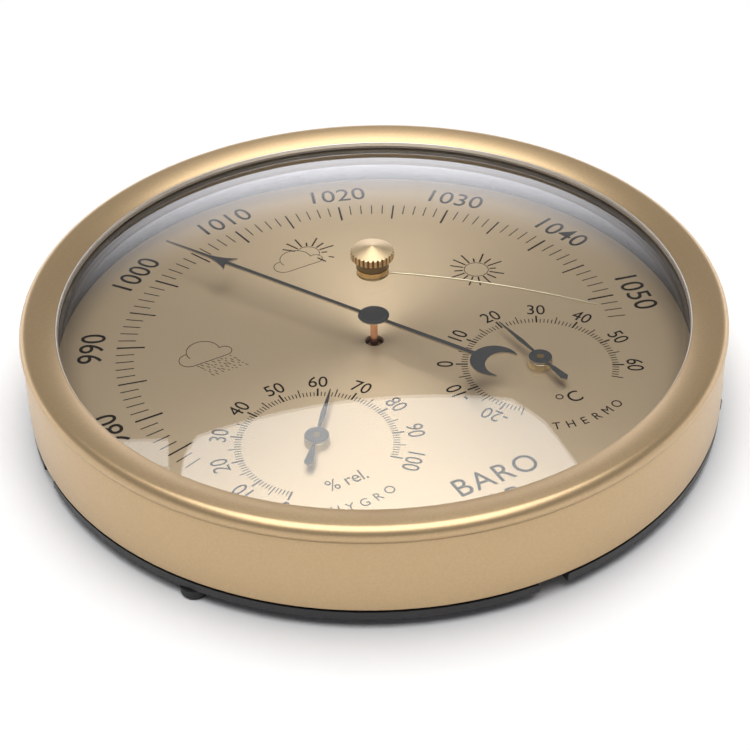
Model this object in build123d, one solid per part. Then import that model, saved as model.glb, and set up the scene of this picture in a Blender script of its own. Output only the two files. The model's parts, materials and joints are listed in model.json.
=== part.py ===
from build123d import *
import math
import os

# Aneroid wall barometer with a thermometer and a hygrometer in one dial.
# Millimetres. +Z points out of the dial, +Y to its 12 o'clock, and z = 0 is the plane of the feet.

# ---- driving dimensions: case -----------------------------------------------------------------
CASE_R = 65.0            # outside radius of the gold case
CASE_BOTTOM = 4.1        # lower edge of the gold case
CASE_WALL = 1.0          # spun sheet
NECK_R = 64.55           # slight neck under the bezel roll
NECK_Z = 18.4
NECK_FLARE = 0.1         # the wall widens this much just below the neck
NECK_FLARE_H = 0.8
NECK_WALL = 0.85         # sheet at the neck
ROLL_R = 1.6             # radius of the bezel roll
ROLL_CENTRE_R = 63.3
ROLL_CENTRE_Z = 19.5
LIP_R = 58.2             # opening over the glass
LIP_BOTTOM = 19.05
LIP_TOP = 19.95
LIP_EDGE = 0.2           # chamfer of the lip
LIP_FLANGE = 1.6         # flat part of the lip that presses on the gasket

# ---- back cover and feet ----------------------------------------------------------------------
PAN_R = 48.5             # raised middle of the back
PAN_BOTTOM = 0.7
RIM_BOTTOM = 1.9
COVER_T = 1.5
COVER_EDGE = 0.3         # chamfer of the cover's corners
FLANGE_TOP = 3.75
SPIGOT_R = 63.8          # ring of the cover that carries the dial
SPIGOT_WALL = 1.8
BACK_TURN = -1.5         # the back sits turned a little against the dial
NOTCH_W = 5.6            # four notches in the rim
NOTCH_DEPTH = 2.9
FOOT_RING_R = 63.0
FOOT_R = 2.5
FOOT_EDGE = 0.3
FOOT_PEG_R = 1.0
FOOT_PEG_H = 1.2
FOOT_ANGLES = [corner + BACK_TURN for corner in (35, 145, 215, 325)]
KEYHOLE_Y = 52.6         # nail-head opening of the wall hanger
KEYHOLE_R = 3.5
KEYHOLE_SLOT_R = 1.75
KEYHOLE_END_Y = 57.2
VENT_W = 1.6
VENT_L = 12.0
VENT_PITCH = 3.4
VENT_COUNT = 5

# ---- dial, inner ring and glass ---------------------------------------------------------------
DIAL_Z = 10.2            # printed face
DIAL_T = 0.8
DIAL_R = 63.5
DIAL_HOLE_R = 1.75
INNER_WALL_R = 59.5      # dark wall between dial and glass
RING_TOP = 17.5
SEAT_GAP = 0.05          # bedding compound between the inner wall and the glass
SEAT_STEP = 0.2          # the inner wall's step stands this far outside the glass
GLASS_TOP = 27.1         # outside of the dome on the axis
GLASS_SPHERE_R = 203.5
GLASS_T = 0.9
GLASS_R = 61.3
GLASS_HOLE_R = 3.0
GASKET_R = 58.0
GASKET_OUT_R = 61.4
GASKET_GAP = 0.03        # between the gasket and the curve of the glass

# ---- main pointer -----------------------------------------------------------------------------
POINTER_ANGLE = 118.38   # rest position, measured from +X towards +Y
POINTER_Z = 15.5
POINTER_T = 0.35
POINTER_TIP = 49.8
SPIKE_ROOT = 38.9        # where the arrowhead begins to widen
TIP_HALF = 0.12          # half widths of the pointer
ARROW_HALF = 0.36
SHAFT_HALF = 0.42
TAIL_HALF = 0.5
BARB_X = 33.6
BARB_Y = 2.25
ARROW_NOTCH = 34.6
CRESCENT_X = -26.1
CRESCENT_R = 4.5
CRESCENT_CUT_X = -28.2
CRESCENT_CUT_R = 3.6
CRESCENT_LAP = 0.3       # the tail runs this far into the crescent
POINTER_EYE_R = 1.6
HUB_R = 2.95
HUB_T = 0.3
HUB_EDGE = 0.15
ARBOR_R = 0.7
PIVOT_R = 0.4
RUNNING = 0.05           # radial clearance of every pivot and bearing
SHAKE = 0.1              # end play of an arbor between its bearings

# ---- small hands ------------------------------------------------------------------------------
SUB_X = 23.0             # thermometer to the right, hygrometer to the left
SUB_Y = -21.8
SUB_HAND_Z = 11.75
SUB_HAND_T = 0.4
SUB_HUB_R = 2.15
SUB_NEEDLE = 13.1
SUB_TIP_HALF = 0.1       # half widths of the small hands
SUB_ROOT_HALF = 0.3
SUB_NEEDLE_HALF = 0.5
SUB_TAIL_HALF = 0.85
SUB_WIDEST = 5.9         # where the needle is widest
SUB_NECK = 3.4           # end of the narrow neck of the tail
SUB_FLARE = 0.6
SUB_TAIL_POINT = 0.9
SUB_TAIL = 8.2
SUB_ARBOR_R = 0.685
SUB_BOSS_R = 2.25
SUB_BOSS_TOP = 11.6
SUB_TUBE_R = 1.6
SUB_TUBE_BOTTOM = 8.1
SUB_PIVOT_BOTTOM = 3.5
SUB_PIVOT_TOP = 4.3
THERMO_ANGLE = 93.5
HYGRO_ANGLE = 52.6
COIL_START_R = 1.7
COIL_PITCH = 1.2
COIL_TURNS = 4
COIL_T = 0.25
COIL_Z = 5.0
COIL_H = 2.6
BRACKET_LEG_X = 7.3
BRACKET_T = 0.8
BRACKET_HALF = 1.5       # half width of the strip
BRACKET_BOTTOM = 3.4
BRACKET_TOP_R = 4.2
BRACKET_BEARING_R = 2.2
BRACKET_GAP = 0.05       # under the dial
COLLET_GAP = 0.2         # between a collet and the inner end of its spiral

# ---- set hand and its knob --------------------------------------------------------------------
SET_ANGLE = -31.4
SET_HAND_REACH = 41.3
SET_HAND_W = 0.45
SET_HAND_T = 0.35
SET_HAND_GAP = 0.3       # below the glass at the spindle
SET_HAND_MIDDLE_Z = 23.7 # top of the hand half way out
SET_HAND_TIP_Z = 19.4
SET_EYE_R = 3.0
KNOB_R = 4.0
KNOB_COLLAR_R = 3.0
KNOB_COLLAR_BOTTOM = 27.15
KNOB_COLLAR_TOP = 28.75
KNURL_BOTTOM = 29.05
KNURL_TOP = 30.5
KNOB_PEAK = 31.5
KNOB_UNDERCUT = 0.3      # slope under the knurled band
KNOB_EDGE = 0.1
KNOB_SHOULDER = 0.25
KNURL_COUNT = 28
KNURL_GROOVE_R = 0.24
KNURL_RUNOUT = 0.4       # the grooves run past the band
KNURL_OFFSET = 0.02      # groove axes outside the band
SPINDLE_R = 1.4
RIVET_R = 1.9
RIVET_H = 0.5
BUSH_PROUD = 0.1         # the bush stands below the glass
WASHER_R = 2.1
WASHER_GAP = 0.15

# ---- movement ---------------------------------------------------------------------------------
BASE_Z = 2.2
BASE_T = 1.0
CAPSULE_Y = 25.0
CAPSULE_R = 15.0
CAPSULE_RIM_Z = 4.7
CAPSULE_SHEET = 0.3
CAPSULE_RIPPLES = 4
CAPSULE_BULGE = 1.0      # rise of each diaphragm
CAPSULE_RIPPLE = 0.16
CAPSULE_FLAT = 1.0       # flat rim
CAPSULE_RIPPLE_R = 4.0   # innermost ripple
POST_R = 1.5
POST_TOP = 6.95
POST_FLANGE_R = 3.0
POST_FLANGE_BOTTOM = -0.1    # from the rim of the capsule
POST_FLANGE_TOP = 0.2
GEAR_MODULE = 0.25
GEAR_PLAY = 0.03         # extra distance between the wheels
PRESSURE_ANGLE = 20
FLANK_STEPS = 3
PINION_TEETH = 12
SECTOR_TEETH = 120       # teeth of the full wheel that the sector is cut from
SECTOR_KEPT = 13         # teeth on each side of its middle tooth
SECTOR_Z = 5.6
SECTOR_T = 0.5
ADDENDUM = 0.7           # in modules
DEDENDUM = 1.15
TOOTH_FILL = 0.86        # share of the standard tooth thickness, the rest is backlash
PINION_Z = 5.2
PINION_H = 1.3
TAIL_REACH = 4.0         # sector pivot to tail pin
TAIL_PIN_R = 0.4
TAIL_PIN_H = 0.5
SECTOR_RIM = 1.6
SECTOR_HUB_R = 1.3
SECTOR_HUB_H = 0.4       # above and below the sheet
SPOKE_ROOT_R = 0.9
SPOKE_END_R = 0.5
SPOKE_SHARE = 0.72       # angle of the spokes, as a share of the end of the teeth
LEVER_HINGE_Y = 42.5
LEVER_HINGE_Z = 7.35
LEVER_Z = 7.1
LEVER_T = 0.5
LEVER_TIP_X = 22.2
LEVER_TIP_R = 0.9
LEVER_ARM_R = 2.0
LEVER_PAD_R = 2.6
LEVER_ROOT_R = 3.0
LEVER_KNUCKLE_R = 1.0
LEVER_KNUCKLE_X = 4.1
LEVER_PIN_R = 0.5
EAR_X = 4.4              # inner face of the lever bracket's ears
EAR_T = 0.8
EAR_HALF = 1.2
BRACKET_FOOT_T = 0.6
DROP_PIN_R = 0.35
DROP_PIN_POINT = 0.5
DROP_PIN_GAP = 0.15
CRANK_Z = 3.85
CRANK_SHAFT_R = 0.6
CRANK_OPENING = 1.8      # half width of the opening in the base plate below the crank
CRANK_RATIO = 0.2        # crank turn for one turn of the pointer
CAPSULE_RATIO = 0.1      # millimetres of capsule travel per radian of the pointer
BRIDGE_Z = 8.2
BRIDGE_T = 0.8
HAIRSPRING_Z = 4.2
HAIRSPRING_START_R = 1.35
HAIRSPRING_PITCH = 0.45
HAIRSPRING_TURNS = 6
HAIRSPRING_T = 0.12
HAIRSPRING_ANGLE = 200
STUD_R = 0.55
PILLAR_R = 1.5
PILLAR_SCREW_R = 0.7
CRANK_X0 = 18.9
CRANK_X1 = 23.3
CRANK_PIVOT = 0.7        # length of the pivots
CRANK_EAR_T = 0.6
CRANK_EAR_HALF = 1.3
CRANK_EAR_GAP = 0.1
CRANK_EAR_TOP = 1.0      # above the shaft
CRANK_ARM = 0.5          # half width of the arms, and their thickness
CRANK_ARM_GAP = 0.25     # behind the tail pin
CRANK_ARM_H = 2.35
CRANK_ARM_FOOT = 0.3
SECTOR_ARBOR_R = 0.6
COLLET_R = 1.05
COLLET_BOTTOM = -0.1     # from the foot of the hairspring
COLLET_TOP = 0.6
HAIRSPRING_H = 0.4
BASE_CORNERS = ((-9, 0, 5), (24.5, 1, 3), (22.5, -9, 3.5), (8, -12.5, 3.5), (-16.5, 9, 3.5), (15.5, 40, 3.0))
BASE_CAPSULE_MARGIN = 2
BASE_HINGE_R = 4
BRIDGE_R = 2.6
BRIDGE_MIDDLE_R = 3.0
BRIDGE_SCREW_HEAD_R = 1.3
BRIDGE_SCREW_HEAD_H = 0.35
BRIDGE_SCREW_END = 6.0

# ---- fasteners --------------------------------------------------------------------------------
SCREW_R = 1.0
SCREW_HEAD_R = 1.9
SCREW_HEAD_TOP = 1.6
SCREW_HEAD_H = 0.8
SCREW_SLOT_W = 0.5
SCREW_SLOT_D = 0.4
SCREW_SINK = 0.15        # clearance round a sunk head
CAL_HEAD_R = 2.2
CAL_HEAD_H = 1.0
CAL_RECESS = 0.2         # head below the pan
CAL_GAP = 0.4
CAL_SHANK_R = 1.2
CAL_SLOT_W = 0.7
CAL_SLOT_D = 0.5

# ---- derived ----------------------------------------------------------------------------------
GLASS_CENTRE_Z = GLASS_TOP - GLASS_SPHERE_R
GEAR_DISTANCE = GEAR_MODULE * (PINION_TEETH + SECTOR_TEETH) / 2 + GEAR_PLAY
LEVER_RATIO = CAPSULE_RATIO / (LEVER_HINGE_Y - CAPSULE_Y)
LEVER_TIP_Y = LEVER_RATIO * LEVER_HINGE_Y / (CRANK_RATIO + LEVER_RATIO)
SUB_CENTRES = {"thermo": (SUB_X, SUB_Y), "hygro": (-SUB_X, SUB_Y)}
DIAL_UNDER = DIAL_Z - DIAL_T
COVER_FLOOR = PAN_BOTTOM + COVER_T
BASE_TOP = BASE_Z + BASE_T
SET_EYE_TOP = GLASS_TOP - GLASS_T - SET_HAND_GAP
SCREW_PLACES = ((-16.5, 9.0), (15.5, 40.0), (8.0, -12.5))
PILLAR_PLACES = ((-9.0, 0.0), (22.5, -9.0))


# ---- helpers ----------------------------------------------------------------------------------
def disc(radius, bottom, top, x=0.0, y=0.0):
    """Upright cylinder between two heights."""
    return Pos(x, y, (bottom + top) / 2) * Cylinder(radius, top - bottom)


def tube(outer, inner, bottom, top, x=0.0, y=0.0):
    """Upright tube between two heights."""
    return disc(outer, bottom, top, x, y) - disc(inner, bottom - 1, top + 1, x, y)


def block(x0, x1, y0, y1, z0, z1):
    """Box from its low and high faces."""
    centre = Pos((x0 + x1) / 2, (y0 + y1) / 2, (z0 + z1) / 2)
    return centre * Box(x1 - x0, y1 - y0, z1 - z0)


def turned(points):
    """Solid of revolution about Z from an outline of (radius, height) points."""
    return revolve(Plane.XZ * make_face(Polyline(*points, close=True)), Axis.Z)


def plate(sketch, bottom, thickness):
    """Flat plate cut from a sketch."""
    return Pos(0, 0, bottom) * extrude(sketch, thickness)


def hull_of(circles):
    """Convex outline round a list of (x, y, radius) circles."""
    edges = Curve()
    for x, y, radius in circles:
        edges += Pos(x, y) * CenterArc((0, 0), radius, 0, 360)
    return make_hull(edges.edges())


def dome_height(radius, offset=0.0):
    """Height of the glass's outside at a radius, or of a surface that lies offset below it."""
    return GLASS_CENTRE_Z + math.sqrt((GLASS_SPHERE_R - offset) ** 2 - radius ** 2)


def rod_x(radius, x0, x1, y, z):
    """Cylinder along X."""
    return Pos((x0 + x1) / 2, y, z) * Rot(0, 90, 0) * Cylinder(radius, x1 - x0)


# ---- case, glass and back ---------------------------------------------------------------------
def case_shell():
    """Spun case: side wall, neck, rolled bezel and the lip that holds the glass."""
    crest = (ROLL_CENTRE_R, ROLL_CENTRE_Z + ROLL_R)
    shoulder = (ROLL_CENTRE_R + ROLL_R, ROLL_CENTRE_Z)
    inner_roll = ROLL_R - CASE_WALL
    inner_shoulder = (ROLL_CENTRE_R + inner_roll, ROLL_CENTRE_Z)
    inner_crest = (ROLL_CENTRE_R, ROLL_CENTRE_Z + inner_roll)
    half = math.sqrt(0.5)
    outline = (
        Polyline((LIP_R, LIP_BOTTOM), (LIP_R, LIP_TOP - LIP_EDGE), (LIP_R + LIP_EDGE, LIP_TOP))
        + Spline((LIP_R + LIP_EDGE, LIP_TOP), crest, tangents=[(1, 0.5), (1, 0)])
        + ThreePointArc(
            crest,
            (ROLL_CENTRE_R + ROLL_R * half, ROLL_CENTRE_Z + ROLL_R * half),
            shoulder,
        )
        + Polyline(shoulder, (NECK_R, NECK_Z), (NECK_R + NECK_FLARE, NECK_Z - NECK_FLARE_H),
                   (CASE_R, CASE_BOTTOM), (CASE_R - CASE_WALL, CASE_BOTTOM), (NECK_R - NECK_WALL, NECK_Z),
                   inner_shoulder)
        + ThreePointArc(
            inner_shoulder,
            (ROLL_CENTRE_R + inner_roll * half, ROLL_CENTRE_Z + inner_roll * half),
            inner_crest,
        )
        + Polyline(inner_crest, (LIP_R + LIP_FLANGE, LIP_BOTTOM), (LIP_R, LIP_BOTTOM))
    )
    return revolve(Plane.XZ * make_face(outline), Axis.Z)


def glass():
    """Domed window with a hole for the set hand's spindle."""
    outer = Pos(0, 0, GLASS_CENTRE_Z) * Sphere(GLASS_SPHERE_R)
    inner = Pos(0, 0, GLASS_CENTRE_Z) * Sphere(GLASS_SPHERE_R - GLASS_T)
    window = (outer - inner) & disc(GLASS_R, 0, GLASS_TOP + 1)
    return window - disc(GLASS_HOLE_R, 0, GLASS_TOP + 1)


def glass_gasket():
    """Seal squeezed between the lip and the glass."""
    return turned([
        (GASKET_R, dome_height(GASKET_R) + GASKET_GAP),
        (GASKET_OUT_R, dome_height(GASKET_OUT_R) + GASKET_GAP),
        (GASKET_OUT_R, LIP_BOTTOM),
        (GASKET_R, LIP_BOTTOM),
    ])


def spacer_ring():
    """Dark inner wall that stands on the dial and carries the glass."""
    seat_in = dome_height(INNER_WALL_R, GLASS_T) - SEAT_GAP
    seat_out_r = GLASS_R + SEAT_STEP
    seat_out = dome_height(seat_out_r, GLASS_T) - SEAT_GAP
    return turned([
        (INNER_WALL_R, DIAL_Z),
        (DIAL_R, DIAL_Z),
        (DIAL_R, RING_TOP),
        (seat_out_r, RING_TOP),
        (seat_out_r, seat_out),
        (INNER_WALL_R, seat_in),
    ])


def dial_plate():
    """Flat dial with the centre hole and the two holes of the small instruments."""
    part = disc(DIAL_R, DIAL_UNDER, DIAL_Z) - disc(DIAL_HOLE_R, 0, GLASS_TOP)
    for x, y in SUB_CENTRES.values():
        part -= disc(SUB_TUBE_R, 0, GLASS_TOP, x, y)
    return part


def keyhole():
    """Outline of the wall hanger: a hole for a screw head and a slot above it for the shank."""
    slot = hull_of([(0, KEYHOLE_Y, KEYHOLE_SLOT_R), (0, KEYHOLE_END_Y, KEYHOLE_SLOT_R)])
    return slot + Pos(0, KEYHOLE_Y) * Circle(KEYHOLE_R)


def vents():
    """Outlines of the air slots behind the two small instruments."""
    end = (VENT_L - VENT_W) / 2
    slots = Sketch()
    for x, y in SUB_CENTRES.values():
        for row in range(VENT_COUNT):
            height = y + (row - (VENT_COUNT - 1) / 2) * VENT_PITCH
            slots += hull_of([(x - end, height, VENT_W / 2), (x + end, height, VENT_W / 2)])
    return slots


def back_cover():
    """Moulded back: raised pan, notched rim, dial spigot, hanger keyhole, vents and screw holes."""
    spigot_in = SPIGOT_R - SPIGOT_WALL
    rim_floor = RIM_BOTTOM + COVER_T
    part = turned([
        (0, PAN_BOTTOM), (PAN_R - COVER_EDGE, PAN_BOTTOM),
        (PAN_R, PAN_BOTTOM + COVER_EDGE), (PAN_R, RIM_BOTTOM),
        (CASE_R - COVER_EDGE, RIM_BOTTOM), (CASE_R, RIM_BOTTOM + COVER_EDGE), (CASE_R, FLANGE_TOP),
        (SPIGOT_R, FLANGE_TOP), (SPIGOT_R, DIAL_UNDER), (spigot_in, DIAL_UNDER),
        (spigot_in, rim_floor), (PAN_R - COVER_T, rim_floor), (PAN_R - COVER_T, COVER_FLOOR),
        (0, COVER_FLOOR),
    ])
    notch = block(CASE_R - NOTCH_DEPTH, CASE_R + 1, -NOTCH_W / 2, NOTCH_W / 2,
                  RIM_BOTTOM - 1, FLANGE_TOP)
    for quarter in range(4):
        part -= Rot(0, 0, 90 * quarter + BACK_TURN) * notch
    for angle in FOOT_ANGLES:
        part -= Rot(0, 0, angle) * disc(FOOT_PEG_R, 0, RIM_BOTTOM + FOOT_PEG_H, FOOT_RING_R)
    for opening in (keyhole(), vents()):
        part -= plate(opening, 0, rim_floor + 1)
    part -= disc(CAL_HEAD_R + CAL_GAP, 0, COVER_FLOOR + 1, 0, CAPSULE_Y)
    for x, y in SCREW_PLACES:
        part -= disc(SCREW_R, 0, COVER_FLOOR + 1, x, y)
        part -= disc(SCREW_HEAD_R + SCREW_SINK, 0, SCREW_HEAD_TOP, x, y)
    return part


def rubber_feet():
    """Four soft buttons with pegs pushed into the rim."""
    peg_top = RIM_BOTTOM + FOOT_PEG_H
    button = turned([
        (0, 0), (FOOT_R - FOOT_EDGE, 0), (FOOT_R, FOOT_EDGE), (FOOT_R, RIM_BOTTOM), (FOOT_PEG_R, RIM_BOTTOM),
        (FOOT_PEG_R, peg_top), (0, peg_top),
    ])
    return [Rot(0, 0, angle) * Pos(FOOT_RING_R, 0, 0) * button for angle in FOOT_ANGLES]


# ---- fasteners --------------------------------------------------------------------------------
def cover_screws():
    """Screws that hold the movement to the back, heads sunk in the cover."""
    bottom = SCREW_HEAD_TOP - SCREW_HEAD_H
    screw = disc(SCREW_HEAD_R, bottom, SCREW_HEAD_TOP) + disc(SCREW_R, bottom, BASE_TOP)
    screw -= block(-SCREW_HEAD_R - 1, SCREW_HEAD_R + 1, -SCREW_SLOT_W / 2, SCREW_SLOT_W / 2,
                   0, bottom + SCREW_SLOT_D)
    return [Pos(x, y, 0) * screw for x, y in SCREW_PLACES]


def calibration_screw():
    """Slotted screw behind the capsule, reached through the back."""
    bottom = PAN_BOTTOM + CAL_RECESS
    screw = disc(CAL_HEAD_R, bottom, bottom + CAL_HEAD_H) + disc(CAL_SHANK_R, bottom, BASE_TOP)
    slot = block(-CAL_HEAD_R - 1, CAL_HEAD_R + 1, -CAL_SLOT_W / 2, CAL_SLOT_W / 2, 0, bottom + CAL_SLOT_D)
    return Pos(0, CAPSULE_Y, 0) * (screw - slot)


# ---- movement ---------------------------------------------------------------------------------
def movement_base():
    """Base plate with bearings for the pointer arbor and the sector."""
    outline = hull_of([
        (0, CAPSULE_Y, CAPSULE_R + BASE_CAPSULE_MARGIN),
        (0, LEVER_HINGE_Y, BASE_HINGE_R),
        *BASE_CORNERS,
    ])
    part = plate(outline, BASE_Z, BASE_T)
    for x in (0, GEAR_DISTANCE):
        part -= disc(PIVOT_R + RUNNING, 0, BRIDGE_Z, x)
    for x, y in SCREW_PLACES:
        part -= disc(SCREW_R, 0, BRIDGE_Z, x, y)
    part -= disc(CAL_SHANK_R + RUNNING, 0, BRIDGE_Z, 0, CAPSULE_Y)
    return part - block(CRANK_X0, CRANK_X1, -CRANK_OPENING, CRANK_OPENING, 0, BRIDGE_Z)


def movement_bridge():
    """Top bridge with the upper bearings."""
    ends = [(x, y, BRIDGE_R) for x, y in PILLAR_PLACES]
    outline = hull_of([*ends, (0, 0, BRIDGE_MIDDLE_R), (GEAR_DISTANCE, 0, BRIDGE_R)])
    part = plate(outline, BRIDGE_Z, BRIDGE_T)
    part -= disc(ARBOR_R + RUNNING, 0, DIAL_Z)
    part -= disc(PIVOT_R + RUNNING, 0, DIAL_Z, GEAR_DISTANCE)
    for x, y in PILLAR_PLACES:
        part -= disc(PILLAR_SCREW_R, 0, DIAL_Z, x, y)
    return part


def bridge_pillars():
    """Posts between the base plate and the bridge."""
    return [tube(PILLAR_R, PILLAR_SCREW_R, BASE_TOP, BRIDGE_Z, x, y) for x, y in PILLAR_PLACES]


def bridge_screws():
    """Screws that clamp the bridge to its pillars."""
    seat = BRIDGE_Z + BRIDGE_T
    screw = disc(BRIDGE_SCREW_HEAD_R, seat, seat + BRIDGE_SCREW_HEAD_H)
    screw += disc(PILLAR_SCREW_R, BRIDGE_SCREW_END, seat)
    return [Pos(x, y, 0) * screw for x, y in PILLAR_PLACES]


def diaphragm(rise):
    """Rippled sheet from the rim to the middle, bulging by rise, as a closed ring of metal."""
    inner = POST_R + RUNNING
    flat_r = CAPSULE_R - CAPSULE_FLAT
    count = 2 * CAPSULE_RIPPLES
    face = [(CAPSULE_R, 0.0), (flat_r, 0.0)]
    for step in range(1, count + 1):
        radius = flat_r - (flat_r - CAPSULE_RIPPLE_R) * step / count
        ripple = CAPSULE_RIPPLE if step % 2 else -CAPSULE_RIPPLE
        face.append((radius, rise + ripple * math.copysign(1, rise)))
    face.append((inner, rise))
    sheet = math.copysign(CAPSULE_SHEET, rise)
    back = [(radius, height + sheet) for radius, height in reversed(face)]
    return turned([(radius, height + CAPSULE_RIM_Z) for radius, height in face + back])


def capsule_lower():
    """Lower half of the evacuated capsule, closed in the middle by its stud."""
    bottom = CAPSULE_RIM_Z - CAPSULE_BULGE - CAPSULE_SHEET
    stud = disc(POST_R + RUNNING, bottom, bottom + CAPSULE_SHEET)
    return Pos(0, CAPSULE_Y, 0) * (diaphragm(-CAPSULE_BULGE) + stud)


def capsule_upper():
    """Upper half of the evacuated capsule."""
    return Pos(0, CAPSULE_Y, 0) * diaphragm(CAPSULE_BULGE)


def capsule_post():
    """Button at the middle of the capsule that lifts the lever."""
    bottom = CAPSULE_RIM_Z + POST_FLANGE_BOTTOM
    flange = disc(POST_FLANGE_R, bottom, CAPSULE_RIM_Z + POST_FLANGE_TOP)
    return Pos(0, CAPSULE_Y, 0) * (disc(POST_R, bottom, POST_TOP) + flange)


def lever_bracket():
    """Two ears on a foot, with the pin that the main lever hinges on."""
    front, back = LEVER_HINGE_Y - EAR_HALF, LEVER_HINGE_Y + EAR_HALF
    outside = EAR_X + EAR_T
    ear = block(EAR_X, outside, front, back, BASE_TOP, LEVER_HINGE_Z + EAR_T)
    foot = block(-outside, outside, front, back, BASE_TOP, BASE_TOP + BRACKET_FOOT_T)
    return foot + ear + mirror(ear, Plane.YZ)


def lever_pin():
    """Hinge pin of the main lever, held in the bracket's ears."""
    return rod_x(LEVER_PIN_R, -EAR_X, EAR_X, LEVER_HINGE_Y, LEVER_HINGE_Z)


def main_lever():
    """Flat lever from the hinge over the capsule to the drop pin above the crank."""
    outline = hull_of([(0, LEVER_HINGE_Y - 2, LEVER_ROOT_R), (0, CAPSULE_Y, LEVER_PAD_R)])
    arm = hull_of([(0, CAPSULE_Y, LEVER_ARM_R), (LEVER_TIP_X, LEVER_TIP_Y, LEVER_TIP_R)])
    part = plate(outline, LEVER_Z, LEVER_T) + plate(arm, LEVER_Z, LEVER_T)
    part += rod_x(LEVER_KNUCKLE_R, -LEVER_KNUCKLE_X, LEVER_KNUCKLE_X, LEVER_HINGE_Y, LEVER_HINGE_Z)
    part += block(-LEVER_ROOT_R, LEVER_ROOT_R, LEVER_HINGE_Y - 2, LEVER_HINGE_Y, LEVER_Z, LEVER_Z + LEVER_T)
    return part - rod_x(LEVER_PIN_R + RUNNING, -EAR_X, EAR_X, LEVER_HINGE_Y, LEVER_HINGE_Z)


def lever_drop_pin():
    """Pointed pin at the lever's tip that rests on the crank."""
    tip_z = CRANK_Z + CRANK_SHAFT_R + DROP_PIN_GAP
    pin = turned([(0, tip_z), (DROP_PIN_R, tip_z + DROP_PIN_POINT), (DROP_PIN_R, LEVER_Z), (0, LEVER_Z)])
    return Pos(LEVER_TIP_X, LEVER_TIP_Y, 0) * pin


def crank_bracket():
    """Two bearing ears for the crank shaft."""
    ear = block(0, CRANK_EAR_T, -CRANK_EAR_HALF, CRANK_EAR_HALF, BASE_TOP, CRANK_Z + CRANK_EAR_TOP)
    hole = rod_x(PIVOT_R + RUNNING, CRANK_X0 - 2, CRANK_X1 + 2, 0, CRANK_Z)
    places = (CRANK_X0 - CRANK_EAR_GAP - CRANK_EAR_T, CRANK_X1 + CRANK_EAR_GAP)
    return [Pos(x, 0, 0) * ear - hole for x in places]


def crank():
    """Rocking shaft with an upright arm behind the sector's tail pin and a short arm under the lever."""
    part = rod_x(CRANK_SHAFT_R, CRANK_X0, CRANK_X1, 0, CRANK_Z)
    part += rod_x(PIVOT_R, CRANK_X0 - CRANK_PIVOT, CRANK_X1 + CRANK_PIVOT, 0, CRANK_Z)
    tail_x = GEAR_DISTANCE + TAIL_REACH
    face_y = TAIL_PIN_R + CRANK_ARM_GAP
    back_y = face_y + CRANK_ARM
    part += block(tail_x - CRANK_ARM, tail_x + CRANK_ARM, face_y, back_y, CRANK_Z, CRANK_Z + CRANK_ARM_H)
    part += block(tail_x - CRANK_ARM, tail_x + CRANK_ARM, 0, back_y,
                  CRANK_Z - CRANK_ARM_FOOT, CRANK_Z + CRANK_ARM_FOOT)
    part += block(LEVER_TIP_X - CRANK_ARM, LEVER_TIP_X + CRANK_ARM, 0, LEVER_TIP_Y + CRANK_ARM,
                  CRANK_Z, CRANK_Z + CRANK_SHAFT_R)
    return part


def tooth_outline(teeth, middle):
    """Points of one involute tooth of a wheel, in order of angle, centred on an angle in radians."""
    pressure = math.radians(PRESSURE_ANGLE)
    pitch_r = GEAR_MODULE * teeth / 2
    base_r = pitch_r * math.cos(pressure)
    tip_r = pitch_r + ADDENDUM * GEAR_MODULE
    root_r = pitch_r - DEDENDUM * GEAR_MODULE
    half = math.pi / (2 * teeth) * TOOTH_FILL
    flank = []
    start_r = max(base_r, root_r)
    for step in range(FLANK_STEPS + 1):
        radius = start_r + (tip_r - start_r) * step / FLANK_STEPS
        angle = math.acos(min(1.0, base_r / radius))
        involute = math.tan(angle) - angle
        shift = half + (math.tan(pressure) - pressure) - involute
        flank.append((radius, shift))
    if base_r > root_r:
        flank.insert(0, (root_r, flank[0][1]))
    left = [(r, middle - a) for r, a in flank]
    right = [(r, middle + a) for r, a in reversed(flank)]
    return [(r * math.cos(a), r * math.sin(a)) for r, a in left + right]


def pinion():
    """Twelve-leaf pinion cut on the pointer's arbor, with a gap facing the sector."""
    points = []
    for tooth in range(PINION_TEETH):
        points += tooth_outline(PINION_TEETH, (tooth + 0.5) * 2 * math.pi / PINION_TEETH)
    return plate(make_face(Polyline(*points, close=True)), PINION_Z, PINION_H)


def pointer_arbor():
    """Arbor of the main pointer, from the base plate through the dial."""
    part = disc(ARBOR_R, BASE_TOP + SHAKE, POINTER_Z + POINTER_T)
    part += disc(PIVOT_R, BASE_Z + SHAKE, BASE_TOP + SHAKE)
    return part + pinion()


def hairspring_collet():
    """Ring on the arbor that the hairspring pulls on."""
    return tube(COLLET_R, ARBOR_R, HAIRSPRING_Z + COLLET_BOTTOM, HAIRSPRING_Z + COLLET_TOP)


def on_circle(radius, angle):
    """Point at a radius and an angle in radians."""
    return radius * math.cos(angle), radius * math.sin(angle)


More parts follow.
